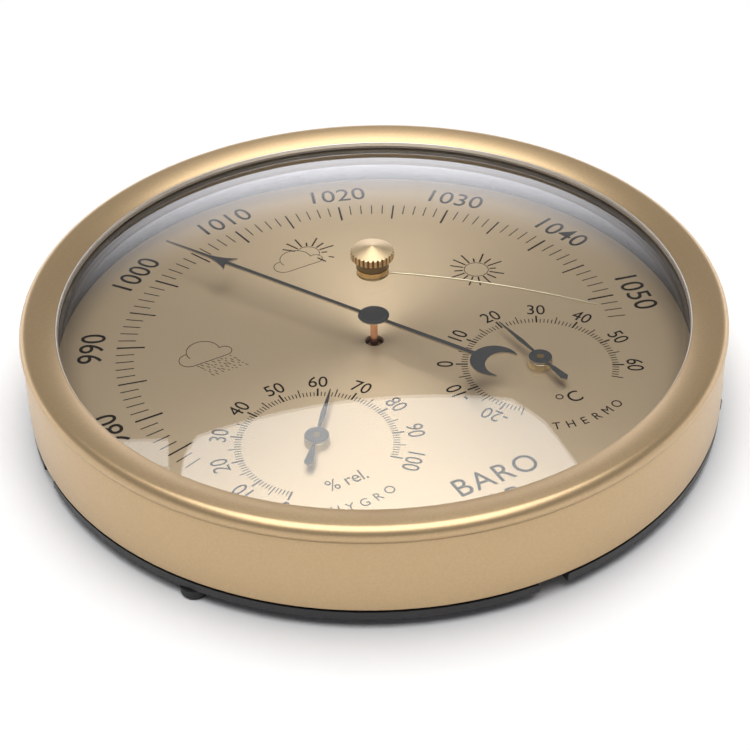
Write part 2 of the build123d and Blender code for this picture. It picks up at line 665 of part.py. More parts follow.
def sector_gear():
    """Toothed sector with its hub, spokes and tail."""
    inner_r = GEAR_MODULE * (SECTOR_TEETH / 2 - DEDENDUM) - SECTOR_RIM
    step = 2 * math.pi / SECTOR_TEETH
    points = []
    for tooth in range(-SECTOR_KEPT, SECTOR_KEPT + 1):
        points += tooth_outline(SECTOR_TEETH, math.pi + tooth * step)
    end = (SECTOR_KEPT + 0.5) * step
    rim_end = on_circle(inner_r, math.pi + end)
    rim_start = on_circle(inner_r, math.pi - end)
    rim = make_face(
        Polyline(*points, rim_end)
        + ThreePointArc(rim_end, (-inner_r, 0), rim_start)
        + Line(rim_start, points[0])
    )
    outlines = [rim, hull_of([(0, 0, SPOKE_ROOT_R), (TAIL_REACH, 0, TAIL_PIN_R)])]
    for side in (-1, 1):
        far = on_circle(inner_r + SPOKE_END_R, math.pi + side * end * SPOKE_SHARE)
        outlines.append(hull_of([(0, 0, SPOKE_ROOT_R), (*far, SPOKE_END_R)]))
    part = disc(SECTOR_HUB_R, SECTOR_Z - SECTOR_HUB_H, SECTOR_Z + SECTOR_T + SECTOR_HUB_H)
    for outline in outlines:
        part += plate(outline, SECTOR_Z, SECTOR_T)
    return Pos(GEAR_DISTANCE, 0, 0) * (part - disc(SECTOR_ARBOR_R, 0, DIAL_Z))


def sector_arbor():
    """Arbor that the sector is pressed on."""
    part = disc(SECTOR_ARBOR_R, BASE_TOP + SHAKE, BRIDGE_Z - SHAKE)
    part += disc(PIVOT_R, BASE_Z + SHAKE, BRIDGE_Z + BRIDGE_T - SHAKE)
    return Pos(GEAR_DISTANCE, 0, 0) * part


def sector_tail_pin():
    """Pin under the sector's tail that the crank pushes."""
    return disc(TAIL_PIN_R, SECTOR_Z - TAIL_PIN_H, SECTOR_Z, GEAR_DISTANCE + TAIL_REACH)


def spiral_strip(start_r, pitch, turns, thickness, bottom, height):
    """Flat spiral spring from half turns whose centres alternate, ending on +X."""
    part = None
    reach = start_r + pitch * (turns + 1)
    for half_turn in range(2 * turns):
        radius = start_r + pitch * half_turn / 2
        upper = half_turn % 2 == 0
        centre = 0.0 if upper else pitch / 2
        ring = Circle(radius + thickness / 2) - Circle(radius - thickness / 2)
        side = Pos(0, reach / 2 if upper else -reach / 2) * Rectangle(2 * reach, reach)
        arc = Pos(centre, 0) * (ring & side)
        part = arc if part is None else part + arc
    return plate(part, bottom, height)


def hairspring():
    """Hairspring that takes up the play of the train."""
    strip = spiral_strip(HAIRSPRING_START_R, HAIRSPRING_PITCH, HAIRSPRING_TURNS, HAIRSPRING_T,
                         HAIRSPRING_Z, HAIRSPRING_H)
    return Rot(0, 0, HAIRSPRING_ANGLE) * strip


def hairspring_stud():
    """Post that pins the hairspring's outer end."""
    end_r = HAIRSPRING_START_R + HAIRSPRING_PITCH * HAIRSPRING_TURNS + HAIRSPRING_T / 2
    stud = disc(STUD_R, BASE_TOP, HAIRSPRING_Z + COLLET_TOP, end_r + STUD_R)
    return Rot(0, 0, HAIRSPRING_ANGLE) * stud


# ---- thermometer and hygrometer ---------------------------------------------------------------
def place(part, name):
    """Move a small instrument's piece from the origin to its centre, its leg pointing outwards."""
    x, y = SUB_CENTRES[name]
    return Pos(x, y, 0) * Rot(0, 0, math.degrees(math.atan2(y, x))) * part


def sub_bracket(name):
    """C-shaped frame under the dial with the lower bearing."""
    top = DIAL_UNDER - BRACKET_GAP
    outside = BRACKET_LEG_X + BRACKET_T
    part = block(BRACKET_LEG_X, outside, -BRACKET_HALF, BRACKET_HALF, BRACKET_BOTTOM, top)
    for low, radius in ((top - BRACKET_T, BRACKET_TOP_R), (BRACKET_BOTTOM, BRACKET_BEARING_R)):
        part += block(0, outside, -BRACKET_HALF, BRACKET_HALF, low, low + BRACKET_T)
        part += disc(radius, low, low + BRACKET_T)
    part -= disc(SUB_TUBE_R, top - BRACKET_T, top)
    return place(part - disc(PIVOT_R + RUNNING, BRACKET_BOTTOM, top - BRACKET_T), name)


def sub_boss(name):
    """Brass boss on the dial face with the tube that clamps the frame."""
    part = disc(SUB_BOSS_R, DIAL_Z, SUB_BOSS_TOP) + disc(SUB_TUBE_R, SUB_TUBE_BOTTOM, DIAL_Z)
    return place(part - disc(SUB_ARBOR_R + RUNNING, 0, GLASS_TOP), name)


def sub_coil(name):
    """Spiral strip that winds up with temperature or with humidity, pinned to the frame's leg."""
    strip = spiral_strip(COIL_START_R, COIL_PITCH, COIL_TURNS, COIL_T, COIL_Z, COIL_H)
    end_x = COIL_START_R + COIL_PITCH * (COIL_TURNS - 0.5) + COIL_PITCH / 2 - COIL_T / 2
    tab = block(end_x, BRACKET_LEG_X, 0, COIL_T, COIL_Z, COIL_Z + COIL_H)
    return place(strip + tab, name)


def sub_arbor(name):
    """Thin arbor with the collet inside the coil."""
    part = disc(SUB_ARBOR_R, SUB_PIVOT_TOP, SUB_HAND_Z + SUB_HAND_T)
    part += disc(PIVOT_R, SUB_PIVOT_BOTTOM, SUB_PIVOT_TOP)
    part += disc(COIL_START_R - COIL_T / 2 - COLLET_GAP, COIL_Z, COIL_Z + COIL_H)
    return place(part, name)


def sub_hand(name, angle):
    """Small hand: long lozenge needle, hub disc and a flared tail with a pointed end."""
    upper = [(SUB_NEEDLE, SUB_TIP_HALF), (SUB_WIDEST, SUB_NEEDLE_HALF), (0, SUB_ROOT_HALF),
             (-SUB_NECK, SUB_ROOT_HALF), (-SUB_NECK - SUB_FLARE, SUB_NEEDLE_HALF),
             (-SUB_TAIL + SUB_TAIL_POINT, SUB_TAIL_HALF), (-SUB_TAIL, 0)]
    lower = [(x, -y) for x, y in upper[-2::-1]]
    outline = make_face(Polyline(*upper, *lower, close=True))
    part = plate(outline, SUB_HAND_Z, SUB_HAND_T)
    part += disc(SUB_HUB_R, SUB_HAND_Z, SUB_HAND_Z + SUB_HAND_T)
    part -= disc(SUB_ARBOR_R, 0, GLASS_TOP)
    x, y = SUB_CENTRES[name]
    return Pos(x, y, 0) * Rot(0, 0, angle) * part


# ---- main pointer -----------------------------------------------------------------------------
def pointer_outline():
    """Needle with a barbed arrowhead in front and a crescent moon on the tail."""
    front = make_face(Polyline((0, -SHAFT_HALF), (ARROW_NOTCH, -ARROW_HALF), (ARROW_NOTCH, ARROW_HALF),
                               (0, SHAFT_HALF), close=True))
    upper = (Spline((SPIKE_ROOT, ARROW_HALF), (BARB_X, BARB_Y), tangents=[(-1, 0.15), (-1, 0.75)])
             + Line((BARB_X, BARB_Y), (ARROW_NOTCH, ARROW_HALF)))
    ends = (Polyline((SPIKE_ROOT, ARROW_HALF), (POINTER_TIP, TIP_HALF), (POINTER_TIP, -TIP_HALF),
                     (SPIKE_ROOT, -ARROW_HALF))
            + Line((ARROW_NOTCH, ARROW_HALF), (ARROW_NOTCH, -ARROW_HALF)))
    arrow = make_face(upper + mirror(upper, Plane.XZ) + ends)
    back_end = CRESCENT_X + CRESCENT_R - CRESCENT_LAP
    shaft = make_face(Polyline((0, -SHAFT_HALF), (back_end, -TAIL_HALF), (back_end, TAIL_HALF),
                               (0, SHAFT_HALF), close=True))
    crescent = Pos(CRESCENT_X, 0) * Circle(CRESCENT_R) - Pos(CRESCENT_CUT_X, 0) * Circle(CRESCENT_CUT_R)
    return front + arrow + shaft + crescent


def pointer():
    """Main pointer, one flat stamping with the hole for its arbor."""
    part = plate(pointer_outline() + Circle(POINTER_EYE_R), POINTER_Z, POINTER_T)
    return Rot(0, 0, POINTER_ANGLE) * part - disc(ARBOR_R, 0, GLASS_TOP)


def pointer_hub():
    """Round cap over the middle of the pointer."""
    bottom = POINTER_Z + POINTER_T
    top = bottom + HUB_T
    return turned([(0, bottom), (HUB_R, bottom), (HUB_R, top - HUB_EDGE), (HUB_R - HUB_EDGE, top), (0, top)])


# ---- set hand ---------------------------------------------------------------------------------
def set_hand():
    """Thin hand that bends down under the dome, with an eye round the spindle."""
    start = ((SPINDLE_R + SET_EYE_R) / 2, SET_EYE_TOP)
    middle = ((start[0] + SET_HAND_REACH) / 2, SET_HAND_MIDDLE_Z)
    tip = (SET_HAND_REACH, SET_HAND_TIP_Z)
    start_low, middle_low, tip_low = [(x, z - SET_HAND_T) for x, z in (start, middle, tip)]
    outline = (
        ThreePointArc(start, middle, tip)
        + Line(tip, tip_low)
        + ThreePointArc(tip_low, middle_low, start_low)
        + Line(start_low, start)
    )
    blade = extrude(Plane.XZ * make_face(outline), SET_HAND_W / 2, both=True)
    eye = tube(SET_EYE_R, SPINDLE_R, SET_EYE_TOP - SET_HAND_T, SET_EYE_TOP)
    return Rot(0, 0, SET_ANGLE) * blade + eye


def set_knob():
    """Knurled knob with a coned top and a collar that stands over the glass."""
    body = turned([
        (0, KNOB_COLLAR_BOTTOM), (KNOB_COLLAR_R, KNOB_COLLAR_BOTTOM), (KNOB_COLLAR_R, KNOB_COLLAR_TOP),
        (KNOB_R - KNOB_UNDERCUT, KNURL_BOTTOM - KNOB_EDGE), (KNOB_R, KNURL_BOTTOM), (KNOB_R, KNURL_TOP),
        (KNOB_R - KNOB_SHOULDER, KNURL_TOP + KNOB_EDGE), (0, KNOB_PEAK),
    ])
    groove = disc(KNURL_GROOVE_R, KNURL_BOTTOM - KNURL_RUNOUT, KNURL_TOP + KNURL_RUNOUT,
                  KNOB_R + KNURL_OFFSET)
    for index in range(KNURL_COUNT):
        body -= Rot(0, 0, index * 360 / KNURL_COUNT) * groove
    return body


def set_spindle():
    """Spindle through the glass, riveted under the set hand."""
    rivet_top = SET_EYE_TOP - SET_HAND_T
    rivet_bottom = rivet_top - RIVET_H
    return disc(SPINDLE_R, rivet_bottom, KNOB_COLLAR_BOTTOM) + disc(RIVET_R, rivet_bottom, rivet_top)


def glass_bush():
    """Fixed bearing pressed in the glass."""
    return tube(GLASS_HOLE_R, SPINDLE_R + RUNNING, GLASS_TOP - GLASS_T - BUSH_PROUD, GLASS_TOP)


def spring_washer():
    """Washer that rubs on the bush and keeps the set hand where it is put."""
    return tube(WASHER_R, SPINDLE_R, SET_EYE_TOP, GLASS_TOP - GLASS_T - WASHER_GAP)


# ---- all nodes --------------------------------------------------------------------------------
def build_nodes():
    """Every node's solid or group of solids, by name."""
    nodes = {
        "case_shell": case_shell(),
        "glass": glass(),
        "glass_bush": glass_bush(),
        "glass_gasket": glass_gasket(),
        "spacer_ring": spacer_ring(),
        "dial_plate": dial_plate(),
        "back_cover": back_cover(),
        "rubber_feet": rubber_feet(),
        "cover_screws": cover_screws(),
        "calibration_screw": calibration_screw(),
        "movement_base": movement_base(),
        "movement_bridge": movement_bridge(),
        "bridge_pillars": bridge_pillars(),
        "bridge_screws": bridge_screws(),
        "capsule_lower": capsule_lower(),
        "capsule_upper": capsule_upper(),
        "capsule_post": capsule_post(),
        "lever_bracket": lever_bracket(),
        "lever_pin": lever_pin(),
        "main_lever": main_lever(),
        "lever_drop_pin": lever_drop_pin(),
        "crank_bracket": crank_bracket(),
        "crank": crank(),
        "sector_gear": sector_gear(),
        "sector_arbor": sector_arbor(),
        "sector_tail_pin": sector_tail_pin(),
        "pointer_arbor": pointer_arbor(),
        "hairspring_collet": hairspring_collet(),
        "hairspring": hairspring(),
        "hairspring_stud": hairspring_stud(),
        "pointer": pointer(),
        "pointer_hub": pointer_hub(),
        "set_knob": set_knob(),
        "set_spindle": set_spindle(),
        "set_hand": set_hand(),
        "spring_washer": spring_washer(),
    }
    for name, angle in (("thermo", THERMO_ANGLE), ("hygro", HYGRO_ANGLE)):
        nodes[name + "_bracket"] = sub_bracket(name)
        nodes[name + "_boss"] = sub_boss(name)
        nodes[name + "_coil"] = sub_coil(name)
        nodes[name + "_arbor"] = sub_arbor(name)
        nodes[name + "_hand"] = sub_hand(name, angle)
    return nodes


os.makedirs("parts", exist_ok=True)
for node, shape in build_nodes().items():
    if isinstance(shape, list):
        shape = Compound(children=shape)
    export_step(shape, "parts/" + node + ".step")
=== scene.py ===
import json
import math
import bmesh
import bpy
from mathutils import Matrix, Vector


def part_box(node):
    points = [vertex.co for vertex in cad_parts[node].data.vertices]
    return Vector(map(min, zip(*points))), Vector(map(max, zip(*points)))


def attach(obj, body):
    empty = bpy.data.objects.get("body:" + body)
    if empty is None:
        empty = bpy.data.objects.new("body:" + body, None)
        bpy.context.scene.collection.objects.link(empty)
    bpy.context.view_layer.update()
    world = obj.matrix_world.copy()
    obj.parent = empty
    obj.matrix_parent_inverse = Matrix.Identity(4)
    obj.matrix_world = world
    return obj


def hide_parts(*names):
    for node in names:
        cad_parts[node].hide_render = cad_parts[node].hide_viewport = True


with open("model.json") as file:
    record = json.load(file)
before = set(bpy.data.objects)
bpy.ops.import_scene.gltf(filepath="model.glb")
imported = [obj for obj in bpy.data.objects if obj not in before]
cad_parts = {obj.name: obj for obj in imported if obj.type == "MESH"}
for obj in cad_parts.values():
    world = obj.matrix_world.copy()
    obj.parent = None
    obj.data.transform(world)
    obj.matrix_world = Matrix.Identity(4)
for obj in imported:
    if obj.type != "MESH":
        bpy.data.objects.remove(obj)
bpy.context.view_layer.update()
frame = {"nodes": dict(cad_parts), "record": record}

scene = bpy.context.scene
MM = 0.001

# Lengths are in millimetres in the frame of the CAD, +Y to 12 o'clock of the dial. The mesh
# functions turn them into metres.


def low(node, axis):
    """Low side of a CAD node along an axis."""
    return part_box(node)[0]["xyz".index(axis)] / MM


def high(node, axis):
    """High side of a CAD node along an axis."""
    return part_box(node)[1]["xyz".index(axis)] / MM


def centre_of(node):
    """Middle of a CAD node seen from above."""
    return (low(node, "x") + high(node, "x")) / 2, (low(node, "y") + high(node, "y")) / 2


# ---- sizes: case and glass ---------------------------------------------------------------------
CASE_R = high("case_shell", "x")
CASE_BOTTOM = low("case_shell", "z")
BEZEL_TOP = high("case_shell", "z")
WALL = 1.0
ROLL_R = 1.6
ROLL_INSET = 0.1         # the roll stands back from the widest part of the case
ROLL_CENTRE = (CASE_R - ROLL_INSET - ROLL_R, BEZEL_TOP - ROLL_R)
ROLL_END = -42           # lower end of the roll's arc, in degrees from the horizontal
NECK = (CASE_R - 0.45, BEZEL_TOP - 2.7)
HEM_R = 0.3
LIP_R = 58.2
LIP_ROUND = 0.25
LIP_BOTTOM = high("glass_gasket", "z")
LIP_TOP = BEZEL_TOP - 1.15
CUT_WIDTH = 0.12         # bare metal along the edge of the lip
DIAL_Z = high("dial_plate", "z")
DIAL_R = high("dial_plate", "x")
DIAL_HOLE_R = 1.75
INNER_WALL_R = 59.5
DOME_TOP = high("glass_bush", "z")
DOME_R = 203.5
DOME_CENTRE_Z = DOME_TOP - DOME_R
GLASS_T = 0.9
GLASS_R = high("glass", "x")
GLASS_HOLE_R = 3.0
GASKET_R = 58.0
GASKET_OUT_R = high("glass_gasket", "x")
FOOT_R = 2.5
FOOT_PLUG_R = 1.0
FOOT_RIM_Z = 1.9
FOOT_RING_R = 63.0
FOOT_ANGLES = (33.5, 143.5, 213.5, 323.5)

# ---- sizes: hands ------------------------------------------------------------------------------
# Half outlines are (distance from the arbor, half width).
POINTER_ANGLE = 118.38
POINTER_CAP_R = 2.95
NEEDLE_TIP = (49.8, 0.1)
HEAD_TIP = (38.9, 0.36)
HEAD_HANDLES = ((37.0, 0.62), (35.2, 1.2))
HEAD_BARB = (33.6, 2.25)
HEAD_NOTCH = (34.6, 0.40)
ARM_MIDDLE = (0.0, 0.42)
MOON_X = -26.1
MOON_R = 4.5
MOON_ROOT = 0.5          # half width of the arm where it meets the moon
MOON_CUT_X = -28.2
MOON_CUT_R = 3.6
HORN_TRIM = (4, 6)       # degrees cut from the outer and the inner arc, so that the horns are blunt
THERMO = centre_of("thermo_boss")
HYGRO = centre_of("hygro_boss")
THERMO_ANGLE = 93.5
HYGRO_ANGLE = 52.6
SMALL_NEEDLE = [(13.1, 0.1), (5.9, 0.5)]
SMALL_SPADE = [(-3.4, 0.3), (-4.0, 0.5), (-7.3, 0.85), (-8.2, 0.0)]
SMALL_HUB_R = 2.15
SMALL_ROOT = 0.3         # half width of the needle where it meets the hub
ARBOR_PROUD = 0.03       # the end of an arbor stands over its small hand
BOSS_BORE_R = 0.8
BOSS_NECK_R = 1.6
BOSS_R = 2.25
SET_ANGLE = -31.4
SET_EYE_R = 3.0
SET_BORE_R = 1.4
SET_WIDTH = 0.45
SET_THICK = 0.35
SET_ROOT = (1.9, high("set_hand", "z"))
SET_MIDDLE = (21.6, 23.7)
SET_TIP = (41.3, 19.4)
KNOB_R = high("set_knob", "x")
KNOB_TOP = high("set_knob", "z")
KNOB_BOTTOM = low("set_knob", "z")
KNOB_EDGE = 0.12         # chamfer of the knurled band
COLLAR_R = 3.0
COLLAR_TOP = KNOB_BOTTOM + 1.6
COLLAR_EDGE = 0.15
BAND_LOW = KNOB_BOTTOM + 1.9
BAND_HIGH = KNOB_BOTTOM + 3.35
KNURL_COUNT = 28
STEPS_PER_KNURL = 14
KNURL_DEPTH = 0.28
KNURL_FULLNESS = 0.7     # below 1 the grooves are broader than a cosine wave

# ---- sizes: print ------------------------------------------------------------------------------
INK = 0.03
DIGIT_SHARE = 0.729      # height of a digit in the built-in font, as a share of its size
DEGREES_PER_HPA = 2.75
PRESSURES = range(973, 1054)
TOP_PRESSURE = 1013
LONG_TICK = (43.3, 48.6)     # inner and outer radius
SHORT_TICK = (45.2, 48.6)
NUMBER_R = 53.5
NUMBER_HEIGHT = 4.9
SMALL_LONG_TICK = (13.3, 15.5)
SMALL_SHORT_TICK = (13.3, 14.5)
SMALL_NUMBER_R = 17.6
SMALL_NUMBER_HEIGHT = 3.2
ROUND_WORD_R = 17.7
ROUND_WORD_HEIGHT = 2.0
ROUND_WORD_STEP = 8.4        # degrees from letter to letter
THIN_LINE = 0.13
RAY_LINE = 0.32
SUN = (29.06, 11.05)
LOW_SUN = (2.4, 33.2)
LOW_SUN_ARC = (-42, 128)     # the part of its ring that the cloud leaves free
LOW_SUN_HIDDEN = (7, 8, 9, 10, 11, 12)
LOW_SUN_SHORT = (14, 15)
SUN_R = 2.4
SUN_RAYS = (5.9, 4.9, 5.9, 4.0, 5.9, 5.8, 5.4, 4.4, 5.9, 4.7, 5.8, 5.6, 6.0, 4.9, 5.7, 4.0)
RAY_ROOT = 2.7
SHORT_RAY = 1.2
FAIR_CLOUD = (-0.7, 32.5)
RAIN_CLOUD = (-29.6, 12.9)
RAIN_START = (-32.2, 8.9)
RAIN_ROWS = 5
RAIN_COLUMNS = 8
RAIN_STEP = 0.95
RAIN_ROW = (0.35, -0.9)      # from the start of a row to the start of the next
RAIN_SLOPE = (0.5, -0.87)

# ---- camera, in degrees and metres -------------------------------------------------------------
CAMERA_AZIMUTH = -27.37
CAMERA_ELEVATION = 37.354
CAMERA_ROLL = -1.406
CAMERA_DISTANCE = 0.31123
CAMERA_LENS = 79.11
AIM_RIGHT = 0.00013
AIM_DOWN = 0.00654


# ---- outlines ----------------------------------------------------------------------------------
def spread(start, end, steps):
    """Evenly spaced values from start to end."""
    return [start + (end - start) * i / steps for i in range(steps + 1)]


def turn(point, degrees):
    """A point turned about the origin."""
    c, s = math.cos(math.radians(degrees)), math.sin(math.radians(degrees))
    return point[0] * c - point[1] * s, point[0] * s + point[1] * c


def arc(centre, radius, start, end, steps):
    """Points of an arc between two angles in degrees."""
    return [
        (centre[0] + radius * math.cos(math.radians(a)), centre[1] + radius * math.sin(math.radians(a)))
        for a in spread(start, end, steps)
    ]


def moved(point, step):
    """A point moved by a step."""
    return point[0] + step[0], point[1] + step[1]


def bezier(p0, p1, p2, p3, steps):
    """Points of a cubic curve."""
    points = []
    for t in spread(0.0, 1.0, steps):
        u = 1 - t
        weights = (u ** 3, 3 * u * u * t, 3 * u * t * t, t ** 3)
        blend = [sum(w * p[k] for w, p in zip(weights, (p0, p1, p2, p3))) for k in (0, 1)]
        points.append(tuple(blend))
    return points


def rounded(corners, steps=4):
    """Closed outline from corners (x, y, radius), each turned into an arc of its radius."""
    points = []
    for i, (x, y, radius) in enumerate(corners):
        if radius == 0:
            points.append((x, y))
            continue
        corner = Vector((x, y))
        before = (Vector(corners[i - 1][:2]) - corner).normalized()
        after = (Vector(corners[(i + 1) % len(corners)][:2]) - corner).normalized()
        half = before.angle(after) / 2
        centre = corner + (before + after).normalized() * (radius / math.sin(half))
        first = corner + before * (radius / math.tan(half)) - centre
        last = corner + after * (radius / math.tan(half)) - centre
        start = math.degrees(math.atan2(first.y, first.x))
        swing = (math.degrees(math.atan2(last.y, last.x)) - start + 180) % 360 - 180
        points += arc(centre, radius, start, start + swing, steps)
    return points


def counter_clockwise(outline):
    """The outline in counter-clockwise order."""
    area = sum(a[0] * b[1] - b[0] * a[1] for a, b in zip(outline, outline[1:] + outline[:1]))
    return outline if area > 0 else outline[::-1]


def dome(radius, below=0.0):
    """Height of the glass's outside at a radius, or of a surface that lies below it."""
    return DOME_CENTRE_Z + math.sqrt((DOME_R - below) ** 2 - radius ** 2)


# ---- meshes ------------------------------------------------------------------------------------
ON_AXIS = 1e-6           # a point this near to the axis is one vertex
WELD = 1e-5              # vertices this near to each other are joined
CASE_STEPS = 320         # facets round the case
RING_STEPS = 256         # facets round the glass, the dial and the rings between them
SHARPEST_MITRE = 0.3     # keeps the corners of a line from growing without end


def skin(bm, one, two):
    """Adds the faces between two rings of vertices; a ring may be a single vertex."""
    count = max(len(one), len(two))
    for i in range(count if count > 1 else 0):
        after = (i + 1) % count
        if len(one) == 1:
            bm.faces.new((one[0], two[after], two[i]))
        elif len(two) == 1:
            bm.faces.new((one[i], one[after], two[0]))
        else:
            bm.faces.new((one[i], one[after], two[after], two[i]))


def lathe(bm, outline, centre=(0.0, 0.0), steps=64, ripple=None):
    """Adds a turned solid with a closed outline of (radius, height) points."""
    x, y = centre
    rings = []
    for radius, height in outline:
        if radius < ON_AXIS:
            rings.append([bm.verts.new((x, y, height))])
            continue
        ring = []
        for step in range(steps):
            angle = 2 * math.pi * step / steps
            r = ripple(radius, height, angle) if ripple else radius
            ring.append(bm.verts.new((x + r * math.cos(angle), y + r * math.sin(angle), height)))
        rings.append(ring)
    for one, two in zip(rings, rings[1:] + rings[:1]):
        skin(bm, one, two)


def prism(bm, outline, bottom, top, edge):
    """Adds a flat solid with a closed outline of (x, y) points and a chamfer round its top."""
    count = len(outline)
    inner = []
    for i in range(count):
        here = Vector(outline[i])
        before = (here - Vector(outline[i - 1])).normalized()
        after = (Vector(outline[(i + 1) % count]) - here).normalized()
        along = (before + after).normalized()
        inner.append(tuple(here + Vector((-along.y, along.x)) * edge))
    rings = []
    for points, height in ((outline, bottom), (outline, top - edge), (inner, top)):
        rings.append([bm.verts.new((x, y, height)) for x, y in points])
    for one, two in zip(rings, rings[1:]):
        skin(bm, one, two)
    caps = [bm.faces.new(rings[0][::-1]), bm.faces.new(rings[-1])]
    for cap in caps:
        cap.normal_update()
    bmesh.ops.triangulate(bm, faces=caps, ngon_method="EAR_CLIP")


def station(bm, before, here, after, width, bottom, top):
    """Four vertices across a line at one of its points; before or after is None at an end."""
    runs = []
    if before is not None:
        runs.append((here - before).normalized())
    if after is not None:
        runs.append((after - here).normalized())
    along = sum(runs, Vector((0, 0))).normalized()
    side = Vector((-along.y, along.x))
    reach = width / 2 / max(SHARPEST_MITRE, abs(along.dot(runs[0])))
    ring = []
    for sign, height in ((1, bottom), (-1, bottom), (-1, top), (1, top)):
        x, y = here + side * reach * sign
        ring.append(bm.verts.new((x, y, height)))
    return ring


def strip(bm, path, width, bottom, top, closed=False):
    """Adds a flat line of constant width along a path of (x, y) points."""
    points = [Vector(p) for p in path]
    count = len(points)
    stations = []
    for i, here in enumerate(points):
        before = points[i - 1] if closed or i > 0 else None
        after = points[(i + 1) % count] if closed or i < count - 1 else None
        stations.append(station(bm, before, here, after, width, bottom, top))
    pairs = list(zip(stations, stations[1:] + stations[:1]))
    for one, two in pairs if closed else pairs[:-1]:
        skin(bm, one, two)
    if not closed:
        bm.faces.new(stations[0][::-1])
        bm.faces.new(stations[-1])


def lettering(bm, words, height, place, angle=0.0, squeeze=1.0, bold=0.0, spacing=1.0):
    """Adds raised lettering centred on a place, with its digits that high."""
    curve = bpy.data.curves.new("lettering", "FONT")
    curve.body = words
    curve.size = height / DIGIT_SHARE
    curve.space_character = spacing
    curve.align_x = "CENTER"
    curve.align_y = "BOTTOM_BASELINE"
    curve.extrude = INK / 2
    curve.offset = bold
    curve.resolution_u = 6
    holder = bpy.data.objects.new("lettering", curve)
    mesh = bpy.data.meshes.new_from_object(holder)
    mesh.transform(
        Matrix.Translation((place[0], place[1], DIAL_Z + INK / 2))
        @ Matrix.Rotation(math.radians(angle), 4, "Z")
        @ Matrix.Diagonal((squeeze, 1, 1, 1))
        @ Matrix.Translation((0, -height / 2, 0))
    )
    bm.from_mesh(mesh)
    bpy.data.objects.remove(holder)
    bpy.data.curves.remove(curve)
    bpy.data.meshes.remove(mesh)


def piece(name, bm, body, slot, *nodes, sharp=35):
    """Turns a mesh into an object that rides on a CAD body, in place of CAD nodes."""
    bmesh.ops.remove_doubles(bm, verts=bm.verts, dist=WELD)
    bmesh.ops.recalc_face_normals(bm, faces=bm.faces)
    bmesh.ops.scale(bm, vec=(MM, MM, MM), verts=bm.verts)
    mesh = bpy.data.meshes.new(name)
    bm.to_mesh(mesh)
    bm.free()
    mesh.shade_smooth()
    mesh.set_sharp_from_angle(angle=math.radians(sharp))
    mesh.materials.append(FINISHES[slot])
    obj = bpy.data.objects.new(name, mesh)
    scene.collection.objects.link(obj)
    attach(obj, body)
    if nodes:
        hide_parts(*nodes)
    return obj


# ---- materials ---------------------------------------------------------------------------------
# Scales of noise are in waves per metre, and depths of relief are in metres.
ACROSS_BRUSHING = 0.25   # anisotropic rotation that turns the gloss across the tangent
METAL_SWING = 0.06       # how far the roughness strays to either side
DULL_SWING = 0.08
CUT_FACE = 0.55          # faces whose normal rises less than this are cut edges


def add_node(tree, kind, settings=(), **inputs):
    """A node with settings and with its inputs linked or set; i0, i1 and so on go by number."""
    made = tree.nodes.new(kind)
    for key, value in dict(settings).items():
        setattr(made, key, value)
    for key, value in inputs.items():
        numbered = key[0] == "i" and key[1:].isdigit()
        socket = made.inputs[int(key[1:]) if numbered else key]
        if isinstance(value, bpy.types.NodeSocket):
            tree.links.new(value, socket)
        else:
            socket.default_value = value
    return made


